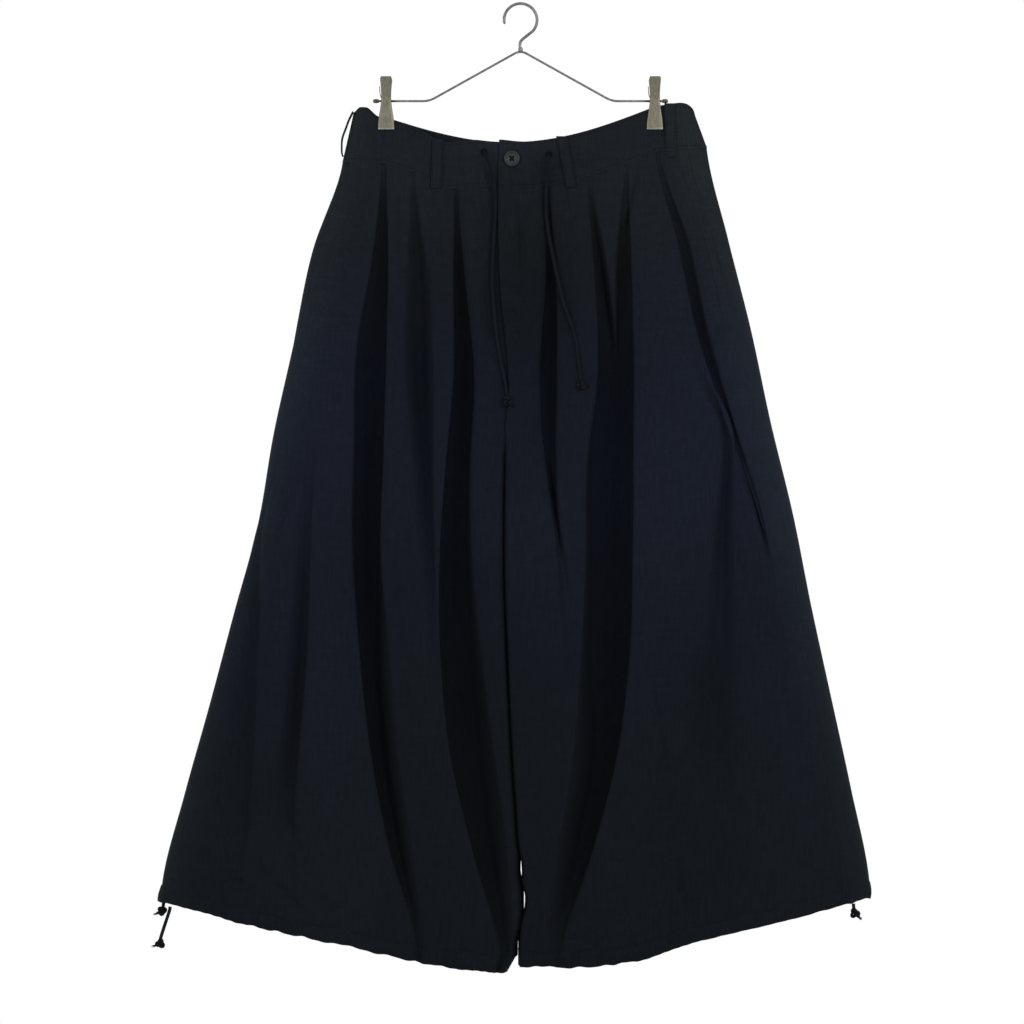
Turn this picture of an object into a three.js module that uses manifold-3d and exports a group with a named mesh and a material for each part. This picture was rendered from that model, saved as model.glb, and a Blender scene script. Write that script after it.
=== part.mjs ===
// Wide-leg trousers with deep front pleats, a drawstring waist and drawstring hems,
// hanging flat from a wire hanger that grips the waistband with two spring clips.
// Millimetres, +Z up. The origin is the top inside of the hanger's hook, where a rail carries it.
// The front of the garment faces -Y. Left and right are as seen from the front.
import * as THREE from "three";
import { mergeVertices } from "three/addons/utils/BufferGeometryUtils.js";
import Module from "manifold-3d";

const wasm = await Module();
wasm.setup();

// Cloth and trim
const clothThickness = 1.6;
const bandThickness = 2.4;
const casingThickness = 2.4;
const bandHeight = 53;
const casingHeight = 22;
const seamGap = 0.3;
const cordDiameter = 4;
const loopWidth = 14;
const loopLength = 57;
const loopThickness = 1.5;
const sideLoopGap = 0.5;
const buttonDiameter = 18;
const buttonThickness = 3.2;
const buttonHole = 2.2;
const holeOffset = 1.9;
const eyeletDiameter = 9;

// Hanger
const wireDiameter = 2.6;
const hookWireDiameter = 3.4;
const hookRadius = 19;
const hookStart = -0.34 * Math.PI;
const hookSweep = 1.42 * Math.PI;
const apexDrop = 52;
const barDrop = 110.5;
const clipOffset = 154.5;
const bendOffset = 105;
const bendEase = 7;
const wireSlope = (barDrop - apexDrop) / bendOffset;
const tipOffset = 162.4;
const tipRadius = 2.3;
const jawThickness = 1.4;
const springRadius = 3.2;
const springLength = 9;

// How the waist hangs between the clips
const sideReach = 190;
const sideRise = 0.09;
const clipLevel = -123;
const clipTilt = 0.041;
const bandSag = 34;
const frontDrop = 1;
const frontDroop = { x: -88, half: 40, depth: 9 };
const sidePeak = { x: -183, half: 16, height: 12 };
const cornerFall = { from: 182, run: 20, depth: 5 };
const clampedHalf = 1.4;
const clampReach = 12;
const mouthBulge = 10;
const sideBulge = 2.8;
const seamHalf = 6.5;
const seamBulge = 6.5;
const bandRound = 6;
const bandOuter = { left: [-191, -204], right: [199, 213.5] };
const bandDrops = [0, 0.5, 0.75, 1];
const leastBandStep = 2.5;

// The fly: how far down it opens, and how far its under side reaches behind the flap
const flyEnd = 0.31;
const crotch = 0.38;
const underlap = 24;
const underlapStep = { from: -20, run: 12 };
const underlapDepth = 3.4;
const underlapFade = 0.06;
const innerRound = 22;

// Stations down the garment, evenly spaced from the waist seam to the top of the hem casing
const centreLine = [-26.5, -23.6, -13.8, -17, -17.8, -14, -8.6, -1.7, -2.9];
const legsApart = [0, 0, 0, 0, 0, 0, 0, 1.3, 0.7];
const frontDepth = [13, 36, 50, 52, 44];
const backDepth = [13, 32, 44, 46, 40];
const outerRound = [14, 50, 70, 80, 70];
const plateauBulge = 5;

// Shares of the way down over which the legs swell below the seam and their panels round out
const swellRun = 0.22;
const bulgeRun = 0.15;
const bulgeFade = { from: 0.8, run: 0.2, loss: 0.4 };

// Folds of each leg, from the middle outwards. x is the trough's centre, half its half width,
// push its depth and lean how far its floor slides under the next panel of cloth.
const flat = [0, 0, 0, 0, 0];
const legs = {
  left: {
    side: -1,
    outer: [-204, -238.5, -260, -283, -301, -329, -356.5, -385.5, -411.5],
    hemOuter: -1033,
    hemDrop: 78,
    hemShape: [0, 0.32, 0.6, 0.855, 1],
    cornerPull: -12,
    front: [
      {
        x: [-74, -66, -76, -50, -21], half: [3, 12, 18, 20, 9],
        push: [1.5, 22, 34, 34, 12], lean: [0, 0, -4, -9, -4], columns: 8,
      },
      {
        x: [-125, -106, -110, -96, -58], half: [3, 12, 10, 9, 8],
        push: [1.5, 16, 6, 0, 0], lean: flat, columns: 6,
      },
      {
        x: [-157, -174, -176, -149, -93], half: [3, 17, 16, 15, 11],
        push: [1.5, 28, 34, 28, 8], lean: [0, 0, 0, -7, -3], columns: 8,
      },
      {
        x: [-182, -219, -257, -268, -244], half: [3, 8, 12, 15, 14],
        push: [0, 0, 5, 10, 4], lean: flat, columns: 4,
      },
      {
        x: [-196, -250, -292, -331, -363], half: [3, 6, 6, 16, 18],
        push: [0, 0, 2, 9, 5], lean: flat, columns: 4,
      },
    ],
    back: [
      {
        x: [-68, -78, -92, -104, -112], half: [3, 13, 17, 19, 14],
        push: [1.5, 16, 25, 22, 8], lean: [0, 0, -4, -6, -3], columns: 6,
      },
      {
        x: [-132, -160, -192, -222, -250], half: [3, 13, 16, 18, 14],
        push: [1.5, 15, 22, 18, 7], lean: [0, 0, -4, -6, -3], columns: 6,
      },
    ],
  },
  right: {
    side: 1,
    outer: [213.5, 238, 264.5, 287, 312.5, 333.5, 356.5, 379.5, 400.5],
    hemOuter: -1029,
    hemDrop: 76,
    hemShape: [0, 0.32, 0.635, 0.98, 1],
    cornerPull: 0,
    front: [
      {
        x: [30, 32, 47, 28, 11], half: [3, 9.5, 6, 5, 3],
        push: [1.5, 22, 5, 0, 0], lean: flat, columns: 6,
      },
      {
        x: [79, 84, 63, 42, 20], half: [3, 7.5, 7, 6, 3],
        push: [1.5, 15, 0, 0, 0], lean: flat, columns: 6,
      },
      {
        x: [121, 113, 102, 82, 42], half: [3, 18, 25, 24, 13],
        push: [1.5, 26, 36, 34, 10], lean: [0, 0, 2, 8, 4], columns: 8,
      },
      {
        x: [140, 183, 219, 212, 206], half: [3, 9, 16, 18, 16],
        push: [0, 0, 9, 8, 3], lean: flat, columns: 4,
      },
      {
        x: [156, 217, 282, 300, 310], half: [3, 9, 6, 8, 8],
        push: [2, 16, 5, 0, 0], lean: flat, columns: 6,
      },
    ],
    back: [
      {
        x: [58, 74, 96, 118, 132], half: [3, 13, 18, 18, 14],
        push: [1.5, 17, 24, 20, 8], lean: [0, 0, 4, 6, 3], columns: 6,
      },
      {
        x: [134, 168, 204, 240, 272], half: [3, 12, 15, 18, 14],
        push: [1.5, 14, 22, 19, 7], lean: [0, 0, 4, 6, 3], columns: 6,
      },
    ],
  },
};
const leastHalf = 2.6;
const FRONT = -1;
const BACK = 1;

// Rows of the panels, closer where the pleats open and where the legs part
const panelRows = [0, 0.04, 0.1, 0.17, 0.25, 0.31, 0.38, 0.48, 0.59, 0.7, 0.81, 0.91, 1];
const pocketRows = 5;
const pocketColumns = { left: 4, right: 3 };
const edgeColumns = 5;
const flyColumns = 4;
const seamColumns = 3;

// Gathers of the drawstring hems
const gathersPerCasing = 12;
const gatherStep = 13;
const gatherHeight = 1.5;
const gatherScallop = 1.4;
const casingPuff = 1.1;
const gatherSwing = 0.3;
const cornerReach = 60;

const materials = {
  cloth: new THREE.MeshStandardMaterial({ color: 0x1a1d26, roughness: 0.92, metalness: 0 }),
  band: new THREE.MeshStandardMaterial({ color: 0x1b1e24, roughness: 0.92, metalness: 0 }),
  cord: new THREE.MeshStandardMaterial({ color: 0x15181d, roughness: 0.95, metalness: 0 }),
  button: new THREE.MeshStandardMaterial({ color: 0x24262b, roughness: 0.35, metalness: 0 }),
  wire: new THREE.MeshStandardMaterial({ color: 0x8b8b8e, roughness: 0.35, metalness: 1 }),
  clip: new THREE.MeshStandardMaterial({ color: 0x78715c, roughness: 0.42, metalness: 1 }),
};

function mix(a, b, share) {
  return a + (b - a) * share;
}

function smooth(share) {
  const s = Math.min(1, Math.max(0, share));
  return s * s * (3 - 2 * s);
}

// A column of even stations read at a share of the way along, on a smooth curve.
function along(column, share) {
  const spans = column.length - 1;
  const at = Math.min(spans - 1e-9, Math.max(0, share * spans));
  const i = Math.floor(at);
  const f = at - i;
  const [a, b, c, d] = [-1, 0, 1, 2].map((k) => column[Math.min(spans, Math.max(0, i + k))]);
  const slopes = (c - a) * f + (2 * a - 5 * b + 4 * c - d) * f * f + (3 * b - a - 3 * c + d) * f * f * f;
  return b + slopes / 2;
}

// A quarter of an ellipse: 0 at an edge, 1 from a full radius in.
function rounded(share) {
  const s = Math.min(1, Math.max(0, share));
  return Math.sqrt(s * (2 - s));
}

// 1 midway between the clips, 0 at them, and a little below 0 at the garment's sides.
function betweenClips(x) {
  const past = (Math.abs(x) - clipOffset) / (sideReach - clipOffset);
  if (past > 0) return -sideRise * Math.sin((Math.min(1, past) * Math.PI) / 2);
  return Math.cos(((x / clipOffset) * Math.PI) / 2);
}

// A smooth hump: 1 at its middle and 0 from its half width out.
function hump(distance) {
  return smooth(1 - Math.abs(distance));
}

// The level of the band at a drop of 0 at its top edge to 1 at the waist seam.
function bandLevel(x, drop, face) {
  const droop = frontDroop.depth * hump((x - frontDroop.x) / frontDroop.half);
  const front = face === FRONT ? droop + frontDrop * Math.max(0, betweenClips(x)) : 0;
  const peak = sidePeak.height * hump((x - sidePeak.x) / sidePeak.half);
  const fall = cornerFall.depth * smooth((x - cornerFall.from) / cornerFall.run);
  const corners = (peak - fall) * (1 - drop);
  return clipLevel + clipTilt * x - bandSag * betweenClips(x) - front + corners - drop * bandHeight;
}

function halfAtSeam(x) {
  return seamHalf + seamBulge * Math.max(0, betweenClips(x));
}

// How far the panel's inner edge lies forward: 1 at the closed fly, 0 at the inseam.
function edgeForward(share) {
  return 1 - smooth((share - flyEnd) / (crotch - flyEnd));
}

// The under side of the fly is the left front, carried on behind the flap.
function liesUnder(leg, face) {
  return leg === legs.left && face === FRONT;
}

function innerEdge(leg, face, share) {
  const forward = edgeForward(share);
  const wall = (clothThickness / 2) * Math.sqrt(1 - forward * forward);
  const apart = seamGap / 2 + wall + Math.max(0, along(legsApart, share));
  const closed = 1 - smooth((share - flyEnd + underlapFade) / underlapFade);
  const reach = liesUnder(leg, face) ? underlap * closed : 0;
  return along(centreLine, share) + leg.side * apart + reach;
}

// How far the under side lies behind the flap, from its distance past the fly's line.
function sunk(past) {
  return underlapDepth * smooth((past - underlapStep.from) / underlapStep.run);
}

// A point of a leg's cloth: x across, share down from the waist seam to the top of the hem casing.
function clothPoint(leg, face, share, x, push = 0, lean = 0) {
  const outer = along(leg.outer, share);
  const inner = along(centreLine, share);
  const inward = (x - outer) / (inner - outer);
  const waistX = mix(leg.outer[0], centreLine[0], inward);
  const top = bandLevel(waistX, 1, face) - seamGap;
  const bottom = leg.hemOuter - leg.hemDrop * along(leg.hemShape, inward) + casingHeight + seamGap;
  const fullDepth = along(face === FRONT ? frontDepth : backDepth, share);
  const depth = mix(halfAtSeam(x), fullDepth, smooth(share / swellRun));
  const fromInner = Math.abs(x - innerEdge(leg, face, share)) / innerRound;
  const innerPart = 1 - (1 - edgeForward(share)) * (1 - rounded(fromInner));
  const outerPart = rounded(Math.abs(x - outer) / along(outerRound, share));
  const behind = liesUnder(leg, face) ? sunk(x - inner) * edgeForward(share) : 0;
  const y = face * (depth * innerPart * outerPart - push - behind);
  return new THREE.Vector3(x + lean, y, mix(top, bottom, share));
}

// One level of a leg's front or back, from its inner edge out to the side.
function clothSection(leg, face, share) {
  const points = [];
  const middle = along(centreLine, share);
  let from = innerEdge(leg, face, share);
  const kept = 1 - bulgeFade.loss * smooth((share - bulgeFade.from) / bulgeFade.run);
  const lift = plateauBulge * smooth(share / bulgeRun) * kept;
  const plateau = (to, columns, spacing) => {
    const start = leg.side * (from - middle) < 0 ? middle : from;
    for (let i = 0; i < columns; i++) {
      const x = mix(from, to, spacing(i / columns));
      const v = Math.max(0, (x - start) / (to - start));
      points.push(clothPoint(leg, face, share, x, -lift * 4 * v * (1 - v)));
    }
  };
  leg[face === FRONT ? "front" : "back"].forEach((fold, index) => {
    const half = Math.max(leastHalf, along(fold.half, share));
    const start = along(fold.x, share) - leg.side * half;
    const end = start + leg.side * 2 * half;
    const even = (v) => v;
    const fromRound = (v) => 1 - Math.cos((v * Math.PI) / 2);
    plateau(start, index ? 2 : flyColumns, index ? even : fromRound);
    for (let i = 0; i < fold.columns; i++) {
      const v = i / fold.columns;
      const floor = smooth(Math.sin(v * Math.PI));
      const push = Math.max(0, along(fold.push, share)) * floor;
      points.push(clothPoint(leg, face, share, mix(start, end, v), push, along(fold.lean, share) * floor));
    }
    from = end;
  });
  const outer = along(leg.outer, share);
  plateau(outer, edgeColumns, (v) => Math.sin((v * Math.PI) / 2));
  points.push(clothPoint(leg, face, share, outer));
  return points;
}

// Directions out of a grid of points. Those of its first and last row are level, for the seams.
function gridNormals(grid, sign) {
  const last = grid.length - 1;
  const end = grid[0].length - 1;
  return grid.map((row, r) =>
    row.map((_, c) => {
      const across = grid[r][Math.min(end, c + 1)].clone().sub(grid[r][Math.max(0, c - 1)]);
      const seam = r === 0 || r === last;
      const down = seam ? new THREE.Vector3(0, 0, -1) : grid[r + 1][c].clone().sub(grid[r - 1][c]);
      return across.cross(down).normalize().multiplyScalar(sign);
    }),
  );
}

// Both faces of a leg as one grid: from the front's inner edge, round the side, to the back's inner edge.
function legCloth(leg, rows) {
  const grid = rows.map((share) => {
    const back = clothSection(leg, BACK, share);
    return [...clothSection(leg, FRONT, share), ...back.slice(0, -1).reverse()];
  });
  const normals = gridNormals(grid, -leg.side);
  rows.forEach((share, r) => {
    const row = grid[r];
    const end = row.length - 1;
    const inseam = row[1].clone().sub(row[end - 1]).cross(new THREE.Vector3(0, 0, -1));
    inseam.normalize().multiplyScalar(-leg.side);
    const forward = edgeForward(share);
    normals[r][0] = inseam.clone().lerp(new THREE.Vector3(0, FRONT, 0), forward).normalize();
    normals[r][end] = inseam.clone().lerp(new THREE.Vector3(0, BACK, 0), forward).normalize();
  });
  return { grid, normals };
}

// Draws a line's two ends in by half a seam gap.
function trimmed(points) {
  const line = points.map((p) => p.clone());
  const drawIn = (end, next) => end.addScaledVector(next.clone().sub(end).normalize(), seamGap / 2);
  drawIn(line[0], line[1]);
  drawIn(line[line.length - 1], line[line.length - 2]);
  return line;
}

// The columns of a grid from one number to another, as a piece of its own.
function pieceOf({ grid, normals }, from, to) {
  return {
    grid: grid.map((row) => trimmed(row.slice(from, to + 1))),
    normals: normals.map((row) => row.slice(from, to + 1)),
  };
}

// The back of the right leg wraps round to the front, so its side seam lies a little inside the outline.
function legPieces(leg, wrap, rows) {
  const cloth = legCloth(leg, rows);
  const seam = clothSection(leg, FRONT, 0).length - 1 - wrap;
  const last = cloth.grid[0].length - 1;
  return { front: pieceOf(cloth, 0, seam), back: pieceOf(cloth, seam, last) };
}

// The point and direction a distance along a line of points and directions.
function placeOn(points, normals, distance) {
  let left = distance;
  for (let i = 1; ; i++) {
    const step = points[i].distanceTo(points[i - 1]);
    if (left <= step || i === points.length - 1) {
      const share = left / step;
      return {
        point: points[i - 1].clone().lerp(points[i], share),
        normal: normals[i - 1].clone().lerp(normals[i], share).normalize(),
      };
    }
    left -= step;
  }
}

function lineLength(points) {
  return points.slice(1).reduce((sum, p, i) => sum + p.distanceTo(points[i]), 0);
}

// Distances along a line: every point of it, and more so that no step is longer than asked.
function stations(points, longest) {
  const list = [0];
  points.slice(1).forEach((p, i) => {
    const from = list[list.length - 1];
    const step = p.distanceTo(points[i]);
    const parts = Math.max(1, Math.ceil(step / longest));
    for (let k = 1; k <= parts; k++) list.push(from + (step * k) / parts);
  });
  return list;
}

// A mesh from points and triangles, turned so that its faces point out.
function meshGeometry(points, triangles) {
  const volume = triangles.reduce((sum, [a, b, c]) => {
    return sum + points[a].dot(points[b].clone().cross(points[c]));
  }, 0);
  const turned = volume < 0 ? triangles.map(([a, b, c]) => [a, c, b]) : triangles;
  const geometry = new THREE.BufferGeometry();
  geometry.setAttribute("position", new THREE.Float32BufferAttribute(points.flatMap((p) => p.toArray()), 3));
  geometry.setIndex(turned.flat());
  return geometry;
}

// A wall of even thickness round a grid of points, lifted outwards if asked.
function clothSheet({ grid, normals }, thickness, lift = 0) {
  const rows = grid.length;
  const columns = grid[0].length;
  const layer = (offset) => {
    return grid.flatMap((row, r) => row.map((p, c) => p.clone().addScaledVector(normals[r][c], offset)));
  };
  const points = [...layer(lift + thickness / 2), ...layer(lift - thickness / 2)];
  const inner = rows * columns;
  const triangles = [];
  const quad = (a, b, c, d) => triangles.push([a, b, c], [a, c, d]);
  for (let r = 0; r < rows - 1; r++) {
    for (let c = 0; c < columns - 1; c++) {
      const a = r * columns + c;
      const b = a + 1;
      const d = a + columns;
      const e = d + 1;
      if (points[a].distanceTo(points[e]) <= points[b].distanceTo(points[d])) {
        quad(a, b, e, d);
        quad(a + inner, d + inner, e + inner, b + inner);
      } else {
        quad(b, e, d, a);
        quad(b + inner, a + inner, d + inner, e + inner);
      }
    }
  }
  const rim = [];
  for (let c = 0; c < columns; c++) rim.push(c);
  for (let r = 1; r < rows; r++) rim.push(r * columns + columns - 1);
  for (let c = columns - 2; c >= 0; c--) rim.push((rows - 1) * columns + c);
  for (let r = rows - 2; r > 0; r--) rim.push(r * columns);
  rim.forEach((a, i) => {
    const b = rim[(i + 1) % rim.length];
    quad(b, a, a + inner, b + inner);
  });
  return meshGeometry(points, triangles);
}

function solidOf(geometry) {
  const bare = geometry.clone();
  bare.deleteAttribute("normal");
  bare.deleteAttribute("uv");
  const merged = mergeVertices(bare, 1e-4);
  const made = new wasm.Mesh({
    numProp: 3,
    vertProperties: merged.attributes.position.array,
    triVerts: new Uint32Array(merged.index.array),
  });
  return new wasm.Manifold(made);
}

function geometryOf(solid) {
  const mesh = solid.getMesh();
  const geometry = new THREE.BufferGeometry();
  geometry.setAttribute("position", new THREE.BufferAttribute(mesh.vertProperties, 3));
  geometry.setIndex(new THREE.BufferAttribute(mesh.triVerts, 1));
  return geometry;
}

function joined(...geometries) {
  return geometryOf(geometries.map(solidOf).reduce((all, next) => all.add(next)));
}

function cut(geometry, ...tools) {
  return geometryOf(tools.map(solidOf).reduce((left, tool) => left.subtract(tool), solidOf(geometry)));
}

function tube(curve, diameter, sides, steps) {
  const outline = Array.from({ length: sides }, (_, i) => {
    const angle = (i / sides) * 2 * Math.PI;
    return new THREE.Vector2((Math.cos(angle) * diameter) / 2, (Math.sin(angle) * diameter) / 2);
  });
  return new THREE.ExtrudeGeometry(new THREE.Shape(outline), { extrudePath: curve, steps, curveSegments: 1 });
}

function named(name, geometry, material) {
  const mesh = new THREE.Mesh(geometry, material);
  mesh.name = name;
  return mesh;
}

const panels = {
  left: legPieces(legs.left, 0, panelRows),
  right: legPieces(legs.right, seamColumns, panelRows),
};

function panel(face, side) {
  return named(`${face}_${side}`, clothSheet(panels[side][face], clothThickness), materials.cloth);
}

// The turned-up hem below a panel. Its cord draws it into small uneven gathers.
function hemCasing(face, side) {
  const leg = legs[side];
  const line = panels[side][face].grid.at(-1);
  const outs = panels[side][face].normals.at(-1);
  const length = lineLength(line);
  const levels = [
    { drop: 0, puff: 0, wave: 0 },
    { drop: 0.55, puff: casingPuff, wave: 0.7 },
    { drop: 1, puff: 0, wave: 1 },
  ];
  const places = stations(line, gatherStep).map((run) => {
    return { share: run / length, ...placeOn(line, outs, run) };
  });
  const grid = levels.map(({ drop, puff, wave }) =>
    places.map(({ share, point, normal }) => {
      const phase = 2 * Math.PI * (gathersPerCasing * share + gatherSwing * Math.sin(6 * Math.PI * share));
      const uneven = 0.6 + 0.4 * Math.sin(5 * share + leg.side);
      const size = wave * uneven * smooth(Math.min(share, 1 - share) / 0.04);
      const fromCorner = Math.abs(point.x - along(centreLine, 1)) / cornerReach;
      const moved = point.clone().addScaledVector(normal, puff + gatherHeight * size * Math.sin(phase));
      moved.x += leg.cornerPull * drop * smooth(1 - fromCorner);
      moved.z -= seamGap + drop * casingHeight - gatherScallop * size * drop * Math.cos(phase);
      return moved;
    }),
  );
  const normals = levels.map(() => places.map(({ normal }) => normal));
  return named(`hem_casing_${face}_${side}`, clothSheet({ grid, normals }, casingThickness), materials.cloth);
}

// A point of the waistband: drop runs from 0 at its top edge to 1 at the waist seam.
function bandPoint(x, drop, face) {
  const edge = mix(...bandOuter[x < 0 ? "left" : "right"], drop);
  const mouth = mouthBulge * Math.max(0, betweenClips(Math.abs(x) + clampReach));
  const top = clampedHalf + mouth + sideBulge * smooth((Math.abs(x) - clipOffset) / clampReach - 1.3);
  const half = mix(top, halfAtSeam(x), smooth(2 * drop - 1));
  const y = face * half * rounded(Math.abs(edge - x) / bandRound);
  return new THREE.Vector3(x, y, bandLevel(x, drop, face));
}

// The columns of the band, at the waist seam: those of a leg's two faces, without most of the folds' own.
function bandColumns(leg, wrap) {
  const across = (face) => {
    return clothSection(leg, face, 0).map(({ x }) => ({ x, face, under: liesUnder(leg, face) }));
  };
  const front = across(FRONT);
  front[front.length - 1 - wrap].seam = true;
  const ring = [...front, ...across(BACK).slice(0, -1).reverse()];
  let last = ring[0].x;
  return ring.filter(({ x, seam }, i) => {
    const kept = i === 0 || i === ring.length - 1 || seam || Math.abs(x - last) > leastBandStep;
    if (kept) last = x;
    return kept;
  });
}

// The whole band as one grid: from the flap's edge round the right side, the back and the left side,
// to the end of the under side behind the flap.
function bandCloth() {
  const right = bandColumns(legs.right, seamColumns);
  const left = bandColumns(legs.left, 0).reverse().slice(1);
  const columns = [...right, ...left];
  const grid = bandDrops.map((drop) =>
    columns.map(({ x, face, under }) => {
      const [top, bottom] = bandOuter[x < 0 ? "left" : "right"];
      const point = bandPoint((x * mix(top, bottom, drop)) / bottom, drop, face);
      if (under) point.y += sunk(x - centreLine[0]);
      return point;
    }),
  );
  const cloth = { grid, normals: gridNormals(grid, -1) };
  const [rightSeam, leftSeam] = columns.flatMap(({ seam }, i) => (seam ? [i] : []));
  return {
    waistband_front_right: pieceOf(cloth, 0, rightSeam),
    waistband_back: pieceOf(cloth, rightSeam, leftSeam),
    waistband_front_left: pieceOf(cloth, leftSeam, columns.length - 1),
  };
}

// Where a round or narrow piece of a half width sits on the band.
function bandSeat(x, drop, half, face) {
  const reach = half / bandHeight;
  const rim = [-1, 0, 1].flatMap((a) => {
    return [-1, 0, 1].map((b) => Math.abs(bandPoint(x + a * half, Math.min(1, drop + b * reach), face).y));
  });
  const out = Math.max(...rim) + bandThickness / 2 + seamGap;
  return new THREE.Vector3(x, face * out, bandLevel(x, drop, face));
}

// A belt loop: tacked down at both ends and standing clear of the band between them.
function beltLoop(name, { topX, bottomX, face, side, stand, length = loopLength }) {
  const rows = 8;
  const grid = Array.from({ length: rows + 1 }, (_, r) => {
    const v = r / rows;
    const drop = (v * length) / bandHeight - 0.01;
    const lift = loopThickness / 2 + stand * rounded(2 * Math.min(v, 1 - v));
    return [-0.5, 0, 0.5].map((w) => {
      if (side) {
        const edge = mix(...bandOuter.left, drop);
        const out = bandThickness / 2 + sideLoopGap + lift;
        return new THREE.Vector3(edge - out, w * loopWidth, bandLevel(edge, drop, BACK));
      }
      const seat = bandSeat(mix(topX, bottomX, v), drop, loopWidth / 2, face);
      return new THREE.Vector3(seat.x + w * loopWidth, seat.y + face * lift, seat.z);
    });
  });
  const cloth = { grid, normals: gridNormals(grid, side || face === FRONT ? -1 : 1) };
  return named(name, clothSheet(cloth, loopThickness), materials.band);
}

const beltLoops = {
  belt_loop_front_left: { topX: -98, bottomX: -101, face: FRONT, stand: 2.2 },
  belt_loop_front_right: { topX: 46, bottomX: 56, face: FRONT, stand: 2.2 },
  belt_loop_side_left: { side: true, stand: 3, length: 47 },
  belt_loop_side_right: { topX: 171.5, bottomX: 172, face: FRONT, stand: 2.2, length: 60 },
  belt_loop_back: { topX: -8, bottomX: -8, face: BACK, stand: 2.2 },
};

// The doubled front edge of an in-seam pocket, lying on the front panel beside the side seam.
function pocketEdge(side) {
  const { grid, normals } = panels[side].front;
  const end = grid[0].length - 1;
  const rows = (list) => list.slice(1, pocketRows);
  const strip = pieceOf({ grid: rows(grid), normals: rows(normals) }, end - pocketColumns[side], end - 1);
  const sheet = clothSheet(strip, clothThickness, clothThickness + seamGap);
  return named(`pocket_edge_${side}`, sheet, materials.cloth);
}

// A sew-through button with a raised rim and four holes, facing -Y at its own origin.
function button() {
  const r = buttonDiameter / 2;
  const t = buttonThickness;
  const profile = [
    [0, 0],
    [r * 0.75, 0],
    [r, t * 0.45],
    [r, t * 0.8],
    [r * 0.86, t],
    [r * 0.72, t * 0.72],
    [0, t * 0.62],
  ].map(([x, y]) => new THREE.Vector2(x, y));
  const disc = new THREE.LatheGeometry(profile, 24);
  const holes = [[1, 1], [-1, 1], [1, -1], [-1, -1]].map(([x, z]) => {
    const drill = new THREE.CylinderGeometry(buttonHole / 2, buttonHole / 2, 3 * t, 8);
    return drill.translate(x * holeOffset, 0, z * holeOffset);
  });
  const mesh = named("button", cut(disc, ...holes).rotateX(Math.PI), materials.button);
  mesh.position.copy(bandSeat(-10, 0.36, r, FRONT));
  return mesh;
}

// A worked eyelet that lets the waist cord out of the band.
function eyelet(name, x, drop) {
  const ring = [
    [2.6, 0],
    [eyeletDiameter / 2, 0],
    [eyeletDiameter / 2 - 0.4, 0.9],
    [3, 1],
    [2.6, 0],
  ].map(([r, y]) => new THREE.Vector2(r, y));
  const mesh = named(name, new THREE.LatheGeometry(ring, 16).rotateX(Math.PI), materials.cord);
  mesh.position.copy(bandSeat(x, drop, eyeletDiameter / 2, FRONT));
  return mesh;
}

// Routes of the free cord ends, chosen by hand from the exit down to the knot
const cordRoutes = {
  waist_cord_left: [
    [-42, -11.6, -169], [-42, -13.2, -169.1], [-41.6, -17.2, -170.2], [-40.4, -20.2, -173.4],
    [-38.4, -21.2, -178], [-35.6, -20.6, -184.5], [-32.8, -19.2, -193], [-30.6, -17.6, -204],
    [-29, -16.4, -218.5], [-28.8, -15.7, -232], [-29.3, -15.6, -247], [-30.5, -17, -264],
    [-31.6, -19.1, -282], [-32.4, -21.3, -299], [-32.6, -24.4, -316], [-32, -27.9, -334],
    [-30.5, -30.9, -351], [-29, -33.5, -368], [-27, -35.8, -385], [-24.6, -37.5, -400],
    [-22, -39, -414], [-19.2, -40.2, -427], [-16.8, -41.3, -440], [-15, -42.4, -452],
  ],
  waist_cord_right: [
    [32.8, -12, -172.5], [32.8, -13.6, -172.6], [32.6, -17.6, -173.7], [32.2, -20.6, -176.9],
    [31.6, -21.6, -181.5], [30.8, -21, -188], [30, -19.6, -197], [29.4, -18, -208],
    [29.2, -16.8, -220], [29.2, -16.2, -232], [29.6, -16, -244], [32, -17.4, -263],
    [36, -19.7, -284], [40.4, -23.2, -306], [44.9, -28.1, -327], [49.6, -32.4, -345],
    [55.4, -35.8, -361.5], [60.6, -37.5, -377], [64, -39.1, -392], [65.8, -41, -408],
    [67.4, -42.5, -421], [69.2, -43.4, -434],
  ],
  hem_cord_left: [
    [-401.4, -25.4, -1035], [-401.5, -25.4, -1037], [-402, -25.4, -1039.4], [-402.8, -25.4, -1042],
    [-403.7, -25.3, -1044.7], [-404.6, -25.3, -1047.4], [-405.5, -25.2, -1050.1], [-406.4, -25.2, -1052.8],
    [-407.3, -25.1, -1055.5], [-408.2, -25.1, -1058.2], [-409.1, -25, -1061], [-410, -25, -1063.8],
    [-410.9, -24.9, -1066.6], [-411.8, -24.8, -1069.6], [-412.7, -24.8, -1072.8],
  ],
};

function cord(name, steps) {
  const points = cordRoutes[name].map((p) => new THREE.Vector3(...p));
  return named(name, tube(new THREE.CatmullRomCurve3(points), cordDiameter, 8, steps), materials.cord);
}

// An overhand knot with a short tail, and the neck of cord above it where no cord of its own leads to it.
function knot(name, [x, y, z], tail, neck) {
  const parts = [new THREE.SphereGeometry(1, 8, 6).scale(5, 4, 3.9)];
  parts.push(new THREE.SphereGeometry(1, 6, 4).scale(2.6, 2.4, 2.8).translate(...tail));
  if (neck) {
    const height = neck.top - z;
    const stub = new THREE.CylinderGeometry(cordDiameter / 2, cordDiameter / 2, height, 8);
    parts.push(stub.rotateX(Math.PI / 2).translate(neck.x - x, 0, height / 2));
  }
  const mesh = named(name, joined(...parts), materials.cord);
  mesh.position.set(x, y, z);
  return mesh;
}

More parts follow.
